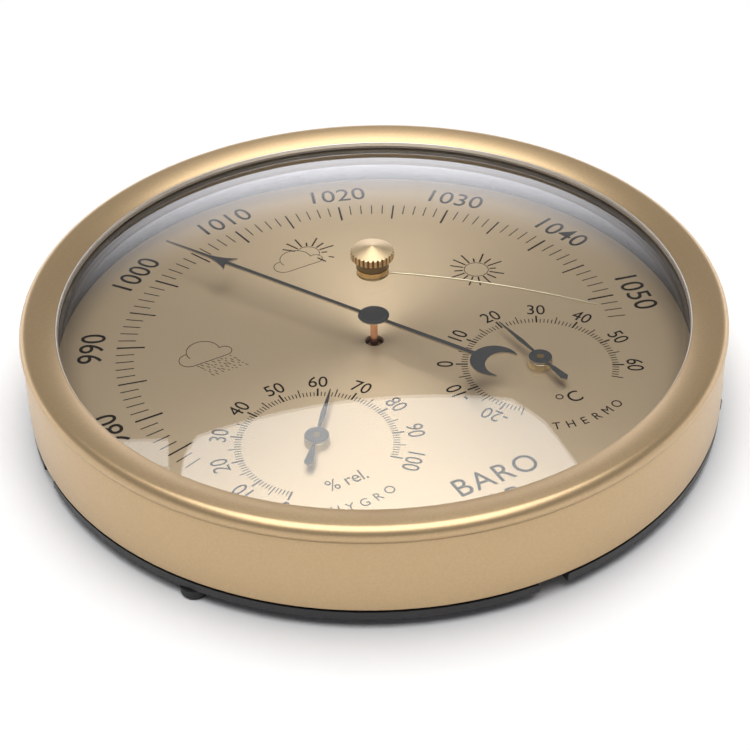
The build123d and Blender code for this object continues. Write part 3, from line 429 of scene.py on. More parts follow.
class Finish:
    """A node material with a Principled shader and a few helpers."""

    def __init__(self, name, **constants):
        self.material = bpy.data.materials.new(name)
        self.material.use_nodes = True
        self.tree = self.material.node_tree
        self.nodes = self.tree.nodes
        self.links = self.tree.links
        self.nodes.clear()
        self.out = self.nodes.new("ShaderNodeOutputMaterial")
        self.shader = self.nodes.new("ShaderNodeBsdfPrincipled")
        self.links.new(self.shader.outputs[0], self.out.inputs["Surface"])
        for socket, value in constants.items():
            self.shader.inputs[socket.replace("_", " ")].default_value = value
        self.place = self.nodes.new("ShaderNodeTexCoord").outputs["Object"]

    def node(self, kind, settings=(), **inputs):
        """A node of this material with settings and inputs."""
        return add_node(self.tree, kind, settings, **inputs)

    def math(self, operation, one, two=0.0):
        """A Math node's result."""
        return self.node("ShaderNodeMath", {"operation": operation}, i0=one, i1=two).outputs[0]

    def noise(self, scale, detail=3.0, vector=None, rough=0.5):
        """Noise from 0 to 1."""
        made = self.node("ShaderNodeTexNoise", Vector=vector or self.place, Scale=scale, Detail=detail,
                         Roughness=rough)
        return made.outputs["Fac"]

    def height(self):
        """Height over the plane of the feet."""
        return self.node("ShaderNodeSeparateXYZ", i0=self.place).outputs[2]

    def flat(self, place):
        """A place with its height taken away."""
        made = self.node("ShaderNodeVectorMath", {"operation": "MULTIPLY"}, i0=place, i1=(1.0, 1.0, 0.0))
        return made.outputs[0]

    def length(self, vector):
        """Length of a vector."""
        return self.node("ShaderNodeVectorMath", {"operation": "LENGTH"}, i0=vector).outputs["Value"]

    def around(self, fine, along):
        """Coordinates that run in rings about the middle axis, fine across the rings."""
        flat = self.flat(self.place)
        heading = self.node("ShaderNodeVectorMath", {"operation": "NORMALIZE"}, i0=flat).outputs[0]
        part = self.node("ShaderNodeSeparateXYZ", i0=heading)
        across = self.math("ADD", self.math("MULTIPLY", self.length(flat), fine),
                           self.math("MULTIPLY", self.height(), fine))
        x = self.math("MULTIPLY", part.outputs[0], along)
        y = self.math("MULTIPLY", part.outputs[1], along)
        return self.node("ShaderNodeCombineXYZ", i0=across, i1=x, i2=y).outputs[0]

    def span(self, value, start, end):
        """A value from 0 to 1 mapped between two values."""
        return self.node("ShaderNodeMapRange", i0=value, i3=start, i4=end).outputs[0]

    def colour(self, value, one, two):
        """The base colour, mixed between two colours by a value."""
        mix = self.node("ShaderNodeMix", {"data_type": "RGBA"}, i0=value)
        mix.inputs[6].default_value = (*one, 1.0)
        mix.inputs[7].default_value = (*two, 1.0)
        self.links.new(mix.outputs[2], self.shader.inputs["Base Color"])

    def cut_edge(self, mask, metal):
        """Another colour in place of the base colour where the mask is 1: bare metal on the case's lip,
        painted shade on the knob.
        """
        socket = self.shader.inputs["Base Color"]
        mix = self.node("ShaderNodeMix", {"data_type": "RGBA"}, i0=mask)
        self.links.new(socket.links[0].from_socket, mix.inputs[6])
        mix.inputs[7].default_value = (*metal, 1.0)
        self.links.new(mix.outputs[2], socket)

    def rough(self, value, start, end):
        """Roughness that varies between two values."""
        self.links.new(self.span(value, start, end), self.shader.inputs["Roughness"])

    def bump(self, value, depth):
        """Relief of that depth."""
        made = self.node("ShaderNodeBump", Height=value, Distance=depth, Strength=1.0)
        self.links.new(made.outputs[0], self.shader.inputs["Normal"])

    def rings(self):
        """Anisotropy that follows circles about the piece's middle."""
        tangent = self.node("ShaderNodeTangent", {"direction_type": "RADIAL", "axis": "Z"})
        self.links.new(tangent.outputs[0], self.shader.inputs["Tangent"])


def shade(colour, share):
    """A colour made darker or lighter by a share."""
    return tuple(min(1.0, c * share) for c in colour)


def satin_metal(name, colour, rough, variation=0.08, grain=9000.0, depth=2e-6):
    """Plain satin metal with a fine grain."""
    f = Finish(name, Metallic=1.0)
    cloud = f.noise(scale=90.0, detail=2.0)
    f.colour(cloud, shade(colour, 1 - variation), shade(colour, 1 + variation))
    f.rough(f.noise(scale=grain / 3, detail=3.0), rough - METAL_SWING, rough + METAL_SWING)
    f.bump(f.noise(scale=grain, detail=2.0), depth)
    return f.material


def dull(name, colour, rough, grain=5000.0, depth=8e-6, variation=0.15, gloss=0.5):
    """Rubber, plastic or ink with a fine moulded texture."""
    f = Finish(name, Metallic=0.0, Specular_IOR_Level=gloss)
    cloud = f.noise(scale=160.0, detail=2.0)
    f.colour(cloud, shade(colour, 1 - variation), shade(colour, 1 + variation))
    f.rough(f.noise(scale=grain / 4, detail=2.0), rough - DULL_SWING, rough + DULL_SWING)
    f.bump(f.noise(scale=grain, detail=2.0), depth)
    return f.material


def case_gold():
    """Champagne lacquer on spun metal: fine grain with faint rings, and bare metal at the lip."""
    f = Finish("gold_case", Metallic=0.72, Anisotropic=0.6, Anisotropic_Rotation=ACROSS_BRUSHING)
    bare = f.math("LESS_THAN", f.length(f.flat(f.place)), (LIP_R + CUT_WIDTH) * MM)
    f.colour(f.noise(scale=2200.0, detail=3.0), (0.53, 0.375, 0.205), (0.66, 0.47, 0.265))
    f.cut_edge(bare, (0.80, 0.78, 0.76))
    streaks = f.noise(scale=1.0, detail=2.0, vector=f.around(fine=5000.0, along=60.0), rough=0.6)
    grain = f.noise(scale=7000.0, detail=2.0)
    f.rough(streaks, 0.28, 0.37)
    f.bump(f.math("ADD", f.math("MULTIPLY", streaks, 0.4), grain), depth=1.5e-6)
    f.rings()
    return f.material


def dial_gold():
    """Gold dial, brushed in rings about the arbor."""
    f = Finish("dial_gold", Metallic=0.68, Anisotropic=0.62, Anisotropic_Rotation=ACROSS_BRUSHING)
    lines = f.noise(scale=1.0, detail=4.0, vector=f.around(fine=9000.0, along=5.0), rough=0.65)
    f.colour(lines, (0.65, 0.50, 0.335), (0.71, 0.55, 0.37))
    f.rough(lines, 0.42, 0.52)
    f.bump(lines, depth=1.2e-6)
    f.rings()
    return f.material


def black_hand():
    """Satin black paint on the faces, bare metal on the cut edges."""
    f = Finish("black_hand")
    normal = f.node("ShaderNodeNewGeometry").outputs["Normal"]
    upright = f.node("ShaderNodeSeparateXYZ", i0=normal).outputs[2]
    bare = f.math("LESS_THAN", f.math("ABSOLUTE", upright), CUT_FACE)
    f.links.new(bare, f.shader.inputs["Metallic"])
    f.colour(bare, (0.045, 0.045, 0.047), (0.55, 0.50, 0.42))
    f.rough(f.noise(scale=3000.0, detail=2.0), 0.30, 0.42)
    f.bump(f.noise(scale=6000.0, detail=2.0), depth=2e-6)
    return f.material


def knob_brass():
    """Turned brass with painted shade: dark in the knurl's grooves and on the collar under the knob's head.
    """
    f = Finish("knob_brass", Metallic=0.8)
    middle = (*(v * MM for v in centre_of("set_knob")), 0.0)
    arm = f.node("ShaderNodeVectorMath", {"operation": "DISTANCE"}, i0=f.flat(f.place), i1=middle)
    height = f.height()
    collar_shade = f.math("LESS_THAN", height, (BAND_LOW - 0.2) * MM)
    below_cone = f.math("LESS_THAN", height, (BAND_HIGH - 0.1) * MM)
    groove_shade = f.math("LESS_THAN", arm.outputs["Value"], (KNOB_R - 0.1) * MM)
    f.colour(f.noise(scale=900.0, detail=2.0), (0.64, 0.48, 0.28), (0.72, 0.55, 0.33))
    # Painted shade: the knurl's grooves and the sunk parts below the band get a dark colour.
    f.cut_edge(f.math("MULTIPLY", below_cone, groove_shade), (0.34, 0.19, 0.08))
    # Painted shade: the collar under the knob's overhanging head gets a dark colour.
    f.cut_edge(collar_shade, (0.24, 0.18, 0.11))
    f.rough(f.noise(scale=1700.0, detail=3.0), 0.30, 0.44)
    f.bump(f.noise(scale=5000.0, detail=2.0), depth=4e-6)
    return f.material


def window():
    """Clear glass: light goes straight through, and both faces mirror a little."""
    f = Finish("window_glass")
    f.nodes.remove(f.shader)
    clear = f.node("ShaderNodeBsdfTransparent", Color=(0.985, 0.99, 0.985, 1.0))
    mirror = f.node("ShaderNodeBsdfAnisotropic", Color=(1.0, 1.0, 1.0, 1.0))
    smear = f.noise(scale=60.0, detail=2.0)
    f.links.new(f.span(smear, 0.0, 0.012), mirror.inputs["Roughness"])
    facing = f.node("ShaderNodeLayerWeight", Blend=0.5).outputs["Facing"]
    head_on = 0.04
    glancing = f.math("MULTIPLY", f.math("POWER", facing, 5.0), 1 - head_on)
    mix = f.node("ShaderNodeMixShader", i0=f.math("ADD", glancing, head_on))
    f.links.new(clear.outputs[0], mix.inputs[1])
    f.links.new(mirror.outputs[0], mix.inputs[2])
    f.links.new(mix.outputs[0], f.out.inputs["Surface"])
    return f.material


FINISHES = {
    "gold_case": case_gold(),
    "window_glass": window(),
    "gasket_rubber": dull("gasket_rubber", (0.20, 0.165, 0.13), rough=0.5),
    "inner_ring": dull("inner_ring", (0.045, 0.045, 0.05), rough=0.45),
    "dial_gold": dial_gold(),
    "black_plastic": dull("black_plastic", (0.018, 0.018, 0.02), rough=0.42, grain=3500.0, depth=1.2e-5),
    "foot_rubber": dull("foot_rubber", (0.014, 0.014, 0.014), rough=0.6),
    "steel": satin_metal("steel", (0.56, 0.56, 0.57), rough=0.32),
    "brass": satin_metal("brass", (0.66, 0.48, 0.25), rough=0.24, variation=0.1),
    "copper": satin_metal("copper", (0.66, 0.38, 0.26), rough=0.22, variation=0.1),
    "nickel": satin_metal("nickel", (0.66, 0.63, 0.57), rough=0.28),
    "spring_bronze": satin_metal("spring_bronze", (0.66, 0.44, 0.24), rough=0.3),
    "black_hand": black_hand(),
    "ink": dull("ink", (0.010, 0.006, 0.003), rough=0.6, grain=6000.0, depth=2e-6, gloss=0.15),
    "knob_brass": knob_brass(),
    "pale_brass": satin_metal("pale_brass", (0.62, 0.54, 0.38), rough=0.3),
}


# ---- case, glass, rings ------------------------------------------------------------------------
def make_case():
    """Gold case with its rolled bezel and lip."""
    lip = (LIP_R + LIP_ROUND, LIP_TOP)
    crest = (ROLL_CENTRE[0], BEZEL_TOP)
    roll = arc(ROLL_CENTRE, ROLL_R, 90, ROLL_END, 26)
    side_low = (CASE_R, CASE_BOTTOM + 3.0)
    side_bulge = (CASE_R - 0.2, NECK[1] - 2.5)
    outline = bezier(lip, moved(lip, (1.3, 0.62)), moved(crest, (-1.7, -0.02)), crest, 20)
    outline += roll[1:]
    outline += bezier(roll[-1], moved(roll[-1], (-0.18, -0.2)), moved(NECK, (-0.05, 0.2)), NECK, 6)[1:]
    outline += bezier(NECK, moved(NECK, (0.12, -0.5)), side_bulge, side_low, 10)[1:]
    outline += arc((CASE_R - HEM_R, CASE_BOTTOM + HEM_R), HEM_R, 0, -90, 6)
    outline += [(CASE_R - WALL, CASE_BOTTOM), moved(NECK, (-WALL, 0))]
    outline += arc(ROLL_CENTRE, ROLL_R - WALL, 0, 90, 10)
    outline += [(LIP_R + 1.6, LIP_BOTTOM), (LIP_R + 0.05, LIP_BOTTOM), (LIP_R, LIP_BOTTOM + 0.1)]
    outline += arc((lip[0], LIP_TOP - LIP_ROUND), LIP_ROUND, 180, 100, 5)
    bm = bmesh.new()
    lathe(bm, outline, steps=CASE_STEPS)
    piece("gold_case", bm, "case", "gold_case", "case_shell", sharp=50)


def make_glass():
    """Domed window with a ground edge and the hole of the set hand."""
    ground = 0.25
    broken = 0.1
    radii = spread(GLASS_HOLE_R + broken, GLASS_R - 0.2, 44)
    outline = [(r, dome(r)) for r in radii]
    outline += [(GLASS_R, dome(GLASS_R) - ground), (GLASS_R, dome(GLASS_R, GLASS_T) + ground)]
    outline += [(r, dome(r, GLASS_T)) for r in radii[::-1]]
    outline += [(GLASS_HOLE_R, dome(GLASS_HOLE_R, GLASS_T) + broken)]
    outline += [(GLASS_HOLE_R, dome(GLASS_HOLE_R) - broken)]
    bm = bmesh.new()
    lathe(bm, outline, steps=RING_STEPS)
    piece("domed_window", bm, "case", "window_glass", "glass")


def make_gasket():
    """Seal under the lip."""
    gap = 0.03
    corners = [(GASKET_R, dome(GASKET_R) + gap, 0.15), (GASKET_OUT_R, dome(GASKET_OUT_R) + gap, 0),
               (GASKET_OUT_R, LIP_BOTTOM, 0), (GASKET_R, LIP_BOTTOM - 0.02, 0.2)]
    bm = bmesh.new()
    lathe(bm, rounded(corners), steps=RING_STEPS)
    piece("window_gasket", bm, "case", "gasket_rubber", "glass_gasket")


def make_inner_wall():
    """Dark wall between the dial and the glass."""
    top = high("spacer_ring", "z")
    gap = 0.05
    seat_r = GLASS_R + 0.2
    corners = [(INNER_WALL_R, DIAL_Z, 0), (DIAL_R, DIAL_Z, 0), (DIAL_R, top, 0.3), (seat_r, top, 0),
               (seat_r, dome(seat_r, GLASS_T) - gap, 0),
               (INNER_WALL_R, dome(INNER_WALL_R, GLASS_T) - gap, 0.15)]
    bm = bmesh.new()
    lathe(bm, rounded(corners), steps=RING_STEPS)
    piece("inner_wall", bm, "case", "inner_ring", "spacer_ring")


def make_dial():
    """Dial plate with its centre hole."""
    bottom = low("dial_plate", "z")
    corners = [(DIAL_HOLE_R, bottom, 0), (DIAL_R, bottom, 0.1), (DIAL_R, DIAL_Z, 0.1),
               (DIAL_HOLE_R, DIAL_Z, 0.08)]
    bm = bmesh.new()
    lathe(bm, rounded(corners), steps=RING_STEPS)
    piece("gold_dial", bm, "case", "dial_gold", "dial_plate")


def make_feet():
    """Rubber feet with a rounded edge and a dimple underneath."""
    top = high("rubber_feet", "z")
    dimple = 0.3
    corners = [(0, dimple, 0), (1.2, dimple, 0.2), (1.5, 0, 0.15), (FOOT_R, 0, 0.5), (FOOT_R, FOOT_RIM_Z, 0),
               (FOOT_PLUG_R, FOOT_RIM_Z, 0), (FOOT_PLUG_R, top, 0.15), (0, top, 0)]
    bm = bmesh.new()
    for angle in FOOT_ANGLES:
        lathe(bm, rounded(corners), turn((FOOT_RING_R, 0), angle), steps=48)
    piece("round_feet", bm, "case", "foot_rubber", "rubber_feet")


# ---- print on the dial -------------------------------------------------------------------------
def on_dial(radius, clockwise, centre=(0.0, 0.0)):
    """Point at a radius and at an angle clockwise from the top."""
    angle = math.radians(90 - clockwise)
    return centre[0] + radius * math.cos(angle), centre[1] + radius * math.sin(angle)


def ink_line(bm, path, width, closed=False):
    """A printed line along a path."""
    strip(bm, path, width, DIAL_Z, DIAL_Z + INK, closed)


def tick(bm, clockwise, reach, width, centre=(0.0, 0.0)):
    """A radial line of a scale, from one radius to another."""
    ink_line(bm, [on_dial(r, clockwise, centre) for r in reach], width)


def make_pressure_scale():
    """Lines and numbers of the pressure scale."""
    lines = bmesh.new()
    numbers = bmesh.new()
    for pressure in PRESSURES:
        clockwise = (pressure - TOP_PRESSURE) * DEGREES_PER_HPA
        if pressure % 10 == 0:
            tick(lines, clockwise, LONG_TICK, 0.42)
            lettering(numbers, str(pressure), NUMBER_HEIGHT, on_dial(NUMBER_R, clockwise), -clockwise,
                      squeeze=0.94, bold=0.012, spacing=1.02)
        elif pressure % 5 == 0:
            tick(lines, clockwise, LONG_TICK, 0.34)
        else:
            tick(lines, clockwise, SHORT_TICK, 0.22)
    piece("pressure_lines", lines, "case", "ink")
    piece("pressure_numbers", numbers, "case", "ink")


def make_small_scale(name, centre, first, last, top, degrees_per_unit, labels):
    """Lines and numbers of a small dial."""
    lines = bmesh.new()
    numbers = bmesh.new()
    for value in range(first, last + 1):
        clockwise = (value - top) * degrees_per_unit
        if value % 10 == 0:
            tick(lines, clockwise, SMALL_LONG_TICK, 0.34, centre)
        elif value % 5 == 0:
            tick(lines, clockwise, SMALL_LONG_TICK, 0.2, centre)
        else:
            tick(lines, clockwise, SMALL_SHORT_TICK, 0.17, centre)
    for value in labels:
        clockwise = (value - top) * degrees_per_unit
        place = on_dial(SMALL_NUMBER_R, clockwise, centre)
        lettering(numbers, str(value), SMALL_NUMBER_HEIGHT, place, -clockwise, squeeze=0.86)
    piece(name + "_lines", lines, "case", "ink")
    piece(name + "_numbers", numbers, "case", "ink")


def round_word(bm, word, centre):
    """A word along the bottom of a small dial, its feet outwards."""
    for i, letter in enumerate(word):
        swing = (i - (len(word) - 1) / 2) * ROUND_WORD_STEP
        place = on_dial(ROUND_WORD_R, 180 - swing, centre)
        lettering(bm, letter, ROUND_WORD_HEIGHT, place, swing, squeeze=0.92)


def make_words():
    """Generic names of the three scales and their units."""
    bm = bmesh.new()
    lettering(bm, "BARO", 4.6, (-0.4, -44.1), squeeze=0.92, spacing=1.12)
    lettering(bm, "hPa", 4.0, (-0.4, -49.9), squeeze=0.92, spacing=1.05)
    round_word(bm, "THERMO", moved(THERMO, (-0.8, 0)))
    round_word(bm, "HYGRO", HYGRO)
    lettering(bm, "C", 3.1, moved(THERMO, (0.2, -11.0)), squeeze=0.95)
    ink_line(bm, arc(moved(THERMO, (-2.2, -9.9)), 0.62, 0, 330, 22), 0.22, closed=True)
    lettering(bm, "% rel.", 2.9, moved(HYGRO, (0, -11.1)), squeeze=0.85)
    piece("dial_words", bm, "case", "ink")


def draw_sun(bm, centre, free=(0, 360), hidden=(), short=()):
    """A ring with rays of uneven length; part of the ring and some of the rays may be hidden."""
    whole = free[1] - free[0] == 360
    ring = arc(centre, SUN_R, free[0], free[1], 48)
    ink_line(bm, ring[:-1] if whole else ring, THIN_LINE, closed=whole)
    for index, reach in enumerate(SUN_RAYS):
        if index in hidden:
            continue
        angle = index * 360 / len(SUN_RAYS)
        root = reach - SHORT_RAY if index in short else RAY_ROOT
        ends = [moved(centre, turn((r, 0), angle)) for r in (root, reach)]
        ink_line(bm, ends, RAY_LINE)


def draw_cloud(bm, centre):
    """A cloud of three bows over a straight base."""
    top = arc(centre, 3.15, -10, 197, 28)
    left = arc(moved(centre, (-3.3, -1.4)), 2.0, 88, 270, 20)
    right = arc(moved(centre, (3.6, -1.8)), 1.4, -80, 112, 20)
    ink_line(bm, top, THIN_LINE)
    ink_line(bm, left + [moved(centre, (3.5, -3.2))] + right, THIN_LINE)


def draw_rain(bm):
    """Rows of short slanting strokes, a little uneven."""
    for row in range(RAIN_ROWS):
        for column in range(RAIN_COLUMNS):
            x = RAIN_START[0] + column * RAIN_STEP + row * RAIN_ROW[0]
            x += 0.25 * math.sin(5 * column + 3 * row)
            y = RAIN_START[1] + row * RAIN_ROW[1] + 0.2 * math.sin(3 * column + 7 * row)
            reach = 0.3 + 0.12 * math.sin(7 * column + 2 * row)
            half = (RAIN_SLOPE[0] * reach, RAIN_SLOPE[1] * reach)
            ink_line(bm, [(x - half[0], y - half[1]), (x + half[0], y + half[1])], THIN_LINE)


def make_weather_signs():
    """Sun, sun behind a cloud, and rain cloud."""
    bm = bmesh.new()
    draw_sun(bm, SUN)
    draw_sun(bm, LOW_SUN, LOW_SUN_ARC, LOW_SUN_HIDDEN, LOW_SUN_SHORT)
    draw_cloud(bm, FAIR_CLOUD)
    draw_cloud(bm, RAIN_CLOUD)
    draw_rain(bm)
    piece("weather_signs", bm, "case", "ink")


# ---- hands -------------------------------------------------------------------------------------
def mirrored(half):
    """Closed outline from a half outline whose last point is shared with its mirror image."""
    return half + [(x, -y) for x, y in half[-2::-1]]


def make_pointer():
    """Main pointer: needle, barbed arrowhead and crescent tail in one outline."""
    half = [NEEDLE_TIP]
    half += bezier(HEAD_TIP, *HEAD_HANDLES, HEAD_BARB, 8)
    half += [HEAD_NOTCH, ARM_MIDDLE]
    root = math.degrees(math.asin(MOON_ROOT / MOON_R))
    gap = MOON_X - MOON_CUT_X
    # The two circles cross this far along the pointer from the middle of the cut.
    cross = (gap * gap + MOON_CUT_R ** 2 - MOON_R ** 2) / (2 * gap)
    horn_outer = math.degrees(math.acos((cross - gap) / MOON_R))
    horn_inner = math.degrees(math.acos(cross / MOON_CUT_R))
    half += arc((MOON_X, 0), MOON_R, root, horn_outer - HORN_TRIM[0], 26)
    half += arc((MOON_CUT_X, 0), MOON_CUT_R, horn_inner - HORN_TRIM[1], 0, 18)
    outline = [turn(p, POINTER_ANGLE) for p in mirrored(half)]
    bm = bmesh.new()
    prism(bm, counter_clockwise(outline), low("pointer", "z"), high("pointer", "z"), edge=0.04)
    piece("pointer_blade", bm, "pointer", "black_hand", "pointer", sharp=25)


def make_pointer_cap():
    """Round cap over the pointer's middle, with a shallow dish."""
    bottom, top = low("pointer_hub", "z"), high("pointer_hub", "z")
    rim_r = POINTER_CAP_R - 0.5
    dish_r = POINTER_CAP_R - 0.75
    dish_z = top - 0.06
    corners = [(0, bottom, 0), (POINTER_CAP_R, bottom, 0.05), (POINTER_CAP_R, top, 0.12), (rim_r, top, 0.05),
               (dish_r, dish_z, 0.05), (0, dish_z, 0)]
    bm = bmesh.new()
    lathe(bm, rounded(corners), steps=96)
    piece("pointer_cap", bm, "pointer", "black_hand", "pointer_hub")


def make_small_hand(name, node, body, centre, angle):
    """Small hand: lozenge needle, round hub and spade tail in one outline."""
    start = math.degrees(math.asin(SMALL_ROOT / SMALL_HUB_R))
    half = SMALL_NEEDLE + arc((0, 0), SMALL_HUB_R, start, 180 - start, 30) + SMALL_SPADE
    outline = [moved(centre, turn(p, angle)) for p in mirrored(half)]
    bm = bmesh.new()
    prism(bm, counter_clockwise(outline), low(node, "z"), high(node, "z") - ARBOR_PROUD, edge=0.05)
    piece(name, bm, body, "black_hand", node, sharp=25)


def make_small_boss(name, node, centre):
    """Brass boss under a small hand."""
    bottom, top = low(node, "z"), high(node, "z")
    corners = [(BOSS_BORE_R, bottom, 0), (BOSS_NECK_R, bottom, 0.1), (BOSS_NECK_R, DIAL_Z, 0),
               (BOSS_R, DIAL_Z, 0.05), (BOSS_R, top, 0.2), (BOSS_BORE_R, top, 0.05)]
    bm = bmesh.new()
    lathe(bm, rounded(corners), centre, steps=64)
    piece(name, bm, "case", "pale_brass", node)


def knurl(radius, height, angle):
    """Radius of the knob with its grooves cut in."""
    in_band = radius > KNOB_R - 0.2 and BAND_LOW - 0.05 < height < BAND_HIGH + 0.05
    share = max(0.0, math.cos(KNURL_COUNT * angle)) ** KNURL_FULLNESS
    return radius - KNURL_DEPTH * share * in_band


def make_knob():
    """Knurled knob with a coned top and a collar."""
    neck_r = COLLAR_R - COLLAR_EDGE
    band_r = KNOB_R - KNOB_EDGE
    cone_r = KNOB_R - 0.3
    cone_z = BAND_HIGH + 0.06
    slope = (KNOB_TOP - cone_z) / cone_r
    outline = [(0, KNOB_BOTTOM), (neck_r, KNOB_BOTTOM), (COLLAR_R, KNOB_BOTTOM + COLLAR_EDGE)]
    outline += [(COLLAR_R, COLLAR_TOP - 0.35), (neck_r, COLLAR_TOP - 0.2), (COLLAR_R - 0.3, COLLAR_TOP)]
    outline += [(KNOB_R - 0.4, BAND_LOW - 0.08), (band_r, BAND_LOW), (KNOB_R, BAND_LOW + KNOB_EDGE)]
    outline += [(KNOB_R, z) for z in spread(BAND_LOW + 0.25, BAND_HIGH - 0.25, 6)]
    outline += [(KNOB_R, BAND_HIGH - KNOB_EDGE), (band_r, BAND_HIGH), (cone_r, cone_z)]
    outline += [(r, KNOB_TOP - slope * r) for r in spread(KNOB_R - 0.6, 0.3, 8)]
    outline += [(0, KNOB_TOP)]
    bm = bmesh.new()
    lathe(bm, outline, steps=KNURL_COUNT * STEPS_PER_KNURL, ripple=knurl)
    piece("set_knob_turned", bm, "set_hand_unit", "knob_brass", "set_knob", sharp=32)


def set_hand_top(radius):
    """Height of the set hand's top: a parabola through its root, middle and tip."""
    height = 0.0
    for place, share in (SET_ROOT, SET_MIDDLE, SET_TIP):
        for other, _ in (SET_ROOT, SET_MIDDLE, SET_TIP):
            if other != place:
                share *= (radius - other) / (place - other)
        height += share
    return height


def make_set_hand():
    """Thin wire-like hand that bends down under the dome, with an eye round the spindle."""
    sides = 8
    bm = bmesh.new()
    stations = []
    for radius in spread(SET_ROOT[0], SET_TIP[0], 60):
        middle = set_hand_top(radius) - SET_THICK / 2
        ring = []
        for k in range(sides):
            angle = math.radians((k + 0.5) * 360 / sides)
            x, y = turn((radius, math.cos(angle) * SET_WIDTH / 2), SET_ANGLE)
            ring.append(bm.verts.new((x, y, middle + math.sin(angle) * SET_THICK / 2)))
        stations.append(ring)
    for one, two in zip(stations, stations[1:]):
        skin(bm, one, two)
    bm.faces.new(stations[0][::-1])
    bm.faces.new(stations[-1])
    top = SET_ROOT[1]
    bottom = top - SET_THICK
    eye = [(SET_BORE_R, bottom, 0.05), (SET_EYE_R, bottom, 0.1), (SET_EYE_R, top, 0.1),
           (SET_BORE_R, top, 0.05)]
    lathe(bm, rounded(eye))
    piece("set_hand_wire", bm, "set_hand_unit", "pale_brass", "set_hand", sharp=60)


make_case()
make_glass()
make_gasket()
make_inner_wall()
make_dial()
make_feet()
make_pressure_scale()
make_small_scale("thermo", THERMO, first=-25, last=65, top=20, degrees_per_unit=3.0,
                 labels=range(-20, 61, 10))
make_small_scale("hygro", HYGRO, first=0, last=100, top=50, degrees_per_unit=2.7,
                 labels=range(0, 101, 10))
make_words()
make_weather_signs()
make_pointer()
make_pointer_cap()
make_small_hand("thermo_needle", "thermo_hand", "thermo_unit", THERMO, THERMO_ANGLE)
make_small_hand("hygro_needle", "hygro_hand", "hygro_unit", HYGRO, HYGRO_ANGLE)
make_small_boss("thermo_hub_seat", "thermo_boss", THERMO)
make_small_boss("hygro_hub_seat", "hygro_boss", HYGRO)
make_knob()
make_set_hand()

# ---- CAD nodes that stay -----------------------------------------------------------------------
for part in frame["record"]["subparts"]:
    obj = frame["nodes"][part["node"]]
    obj.data.materials.clear()
    obj.data.materials.append(FINISHES[part["material_slot"]])

# ---- floor, light, camera, in metres -----------------------------------------------------------
PANEL_HEIGHT = 1.0
OVERHEAD_CORNERS = [(-0.18, 0.63), (-0.13, 0.665), (0.565, 0.395), (0.60, 0.30), (0.60, 0.15), (0.20, -0.75),
                    (-0.75, -0.30)]
SIDE_CORNERS = [(-0.29, 0.85), (-0.19, 0.72), (-0.23, 0.62), (-0.33, 0.74)]


def make_floor():
    """Wide pale floor."""
    bm = bmesh.new()
    bmesh.ops.create_grid(bm, x_segments=8, y_segments=8, size=6.0)
    mesh = bpy.data.meshes.new("floor")
    bm.to_mesh(mesh)
    bm.free()
    floor = bpy.data.objects.new("floor", mesh)
    f = Finish("floor_paint", Metallic=0.0)
    f.colour(f.noise(scale=4.0, detail=2.0), (0.93, 0.93, 0.93), (0.95, 0.95, 0.95))
    f.rough(f.noise(scale=40.0, detail=2.0), 0.6, 0.7)
    mesh.materials.append(f.material)
    scene.collection.objects.link(floor)


def make_softbox(name, corners, height, strength):
    """Flat light panel with straight edges, looking down."""
    bm = bmesh.new()
    bm.faces.new([bm.verts.new((x, y, height)) for x, y in corners][::-1])
    mesh = bpy.data.meshes.new(name)
    bm.to_mesh(mesh)
    bm.free()
    panel = bpy.data.objects.new(name, mesh)
    material = bpy.data.materials.new(name)
    material.use_nodes = True
    tree = material.node_tree
    tree.nodes.clear()
    light = add_node(tree, "ShaderNodeEmission", Strength=strength)
    add_node(tree, "ShaderNodeOutputMaterial", Surface=light.outputs[0])
    mesh.materials.append(material)
    scene.collection.objects.link(panel)


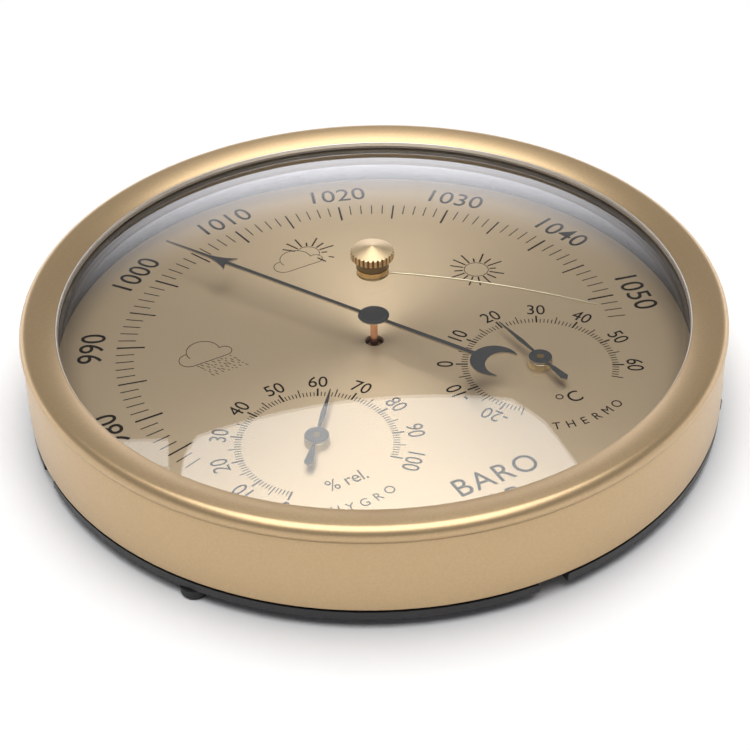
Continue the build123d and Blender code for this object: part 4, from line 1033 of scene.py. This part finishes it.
def make_world():
    """Pale surroundings: bright at the horizon beyond the object, dim overhead and behind the camera."""
    world = bpy.data.worlds.new("studio")
    world.use_nodes = True
    scene.world = world
    tree = world.node_tree
    smooth = {"interpolation_type": "SMOOTHSTEP"}
    horizon_band = 0.42
    far_side = (0.46, 0.888, 0.0)
    glow_behind, glow_beyond = 0.15, 2.6
    ambient = 0.12
    direction = add_node(tree, "ShaderNodeTexCoord").outputs["Generated"]
    height = add_node(tree, "ShaderNodeSeparateXYZ", i0=direction).outputs[2]
    fade = add_node(tree, "ShaderNodeMapRange", smooth, i0=height, i1=0.0, i2=horizon_band, i3=1.0, i4=0.0)
    ahead = add_node(tree, "ShaderNodeVectorMath", {"operation": "DOT_PRODUCT"}, i0=direction, i1=far_side)
    side = add_node(tree, "ShaderNodeMapRange", smooth, i0=ahead.outputs["Value"], i1=-0.9, i2=1.0,
                    i3=glow_behind, i4=glow_beyond)
    glow = add_node(tree, "ShaderNodeMath", {"operation": "MULTIPLY"}, i0=fade.outputs[0], i1=side.outputs[0])
    total = add_node(tree, "ShaderNodeMath", {"operation": "ADD"}, i0=glow.outputs[0], i1=ambient)
    background = tree.nodes["Background"]
    background.inputs["Color"].default_value = (0.97, 0.97, 1.03, 1.0)
    tree.links.new(total.outputs[0], background.inputs["Strength"])


def make_camera():
    """Camera that looks down on the dial from its 7 o'clock side."""
    azimuth = math.radians(CAMERA_AZIMUTH)
    elevation = math.radians(CAMERA_ELEVATION)
    roll = math.radians(CAMERA_ROLL)
    level = math.cos(elevation)
    back = Vector((math.sin(azimuth) * level, -math.cos(azimuth) * level, math.sin(elevation)))
    side = Vector((math.cos(azimuth), math.sin(azimuth), 0.0))
    up = back.cross(side)
    right = side * math.cos(roll) + up * math.sin(roll)
    above = up * math.cos(roll) - side * math.sin(roll)
    aim = Vector((0.0, 0.0, DIAL_Z * MM)) + right * AIM_RIGHT - above * AIM_DOWN
    data = bpy.data.cameras.new("camera")
    data.sensor_width = 36.0
    data.lens = CAMERA_LENS
    data.clip_start = 0.01
    camera = bpy.data.objects.new("camera", data)
    facing = Matrix((right, above, back)).transposed().to_4x4()
    camera.matrix_world = Matrix.Translation(aim + back * CAMERA_DISTANCE) @ facing
    scene.collection.objects.link(camera)
    scene.camera = camera


make_floor()
make_softbox("overhead_panel", OVERHEAD_CORNERS, PANEL_HEIGHT, strength=3.8)
make_softbox("side_panel", SIDE_CORNERS, PANEL_HEIGHT, strength=3.0)
make_world()
make_camera()
scene.view_settings.view_transform = "Standard"
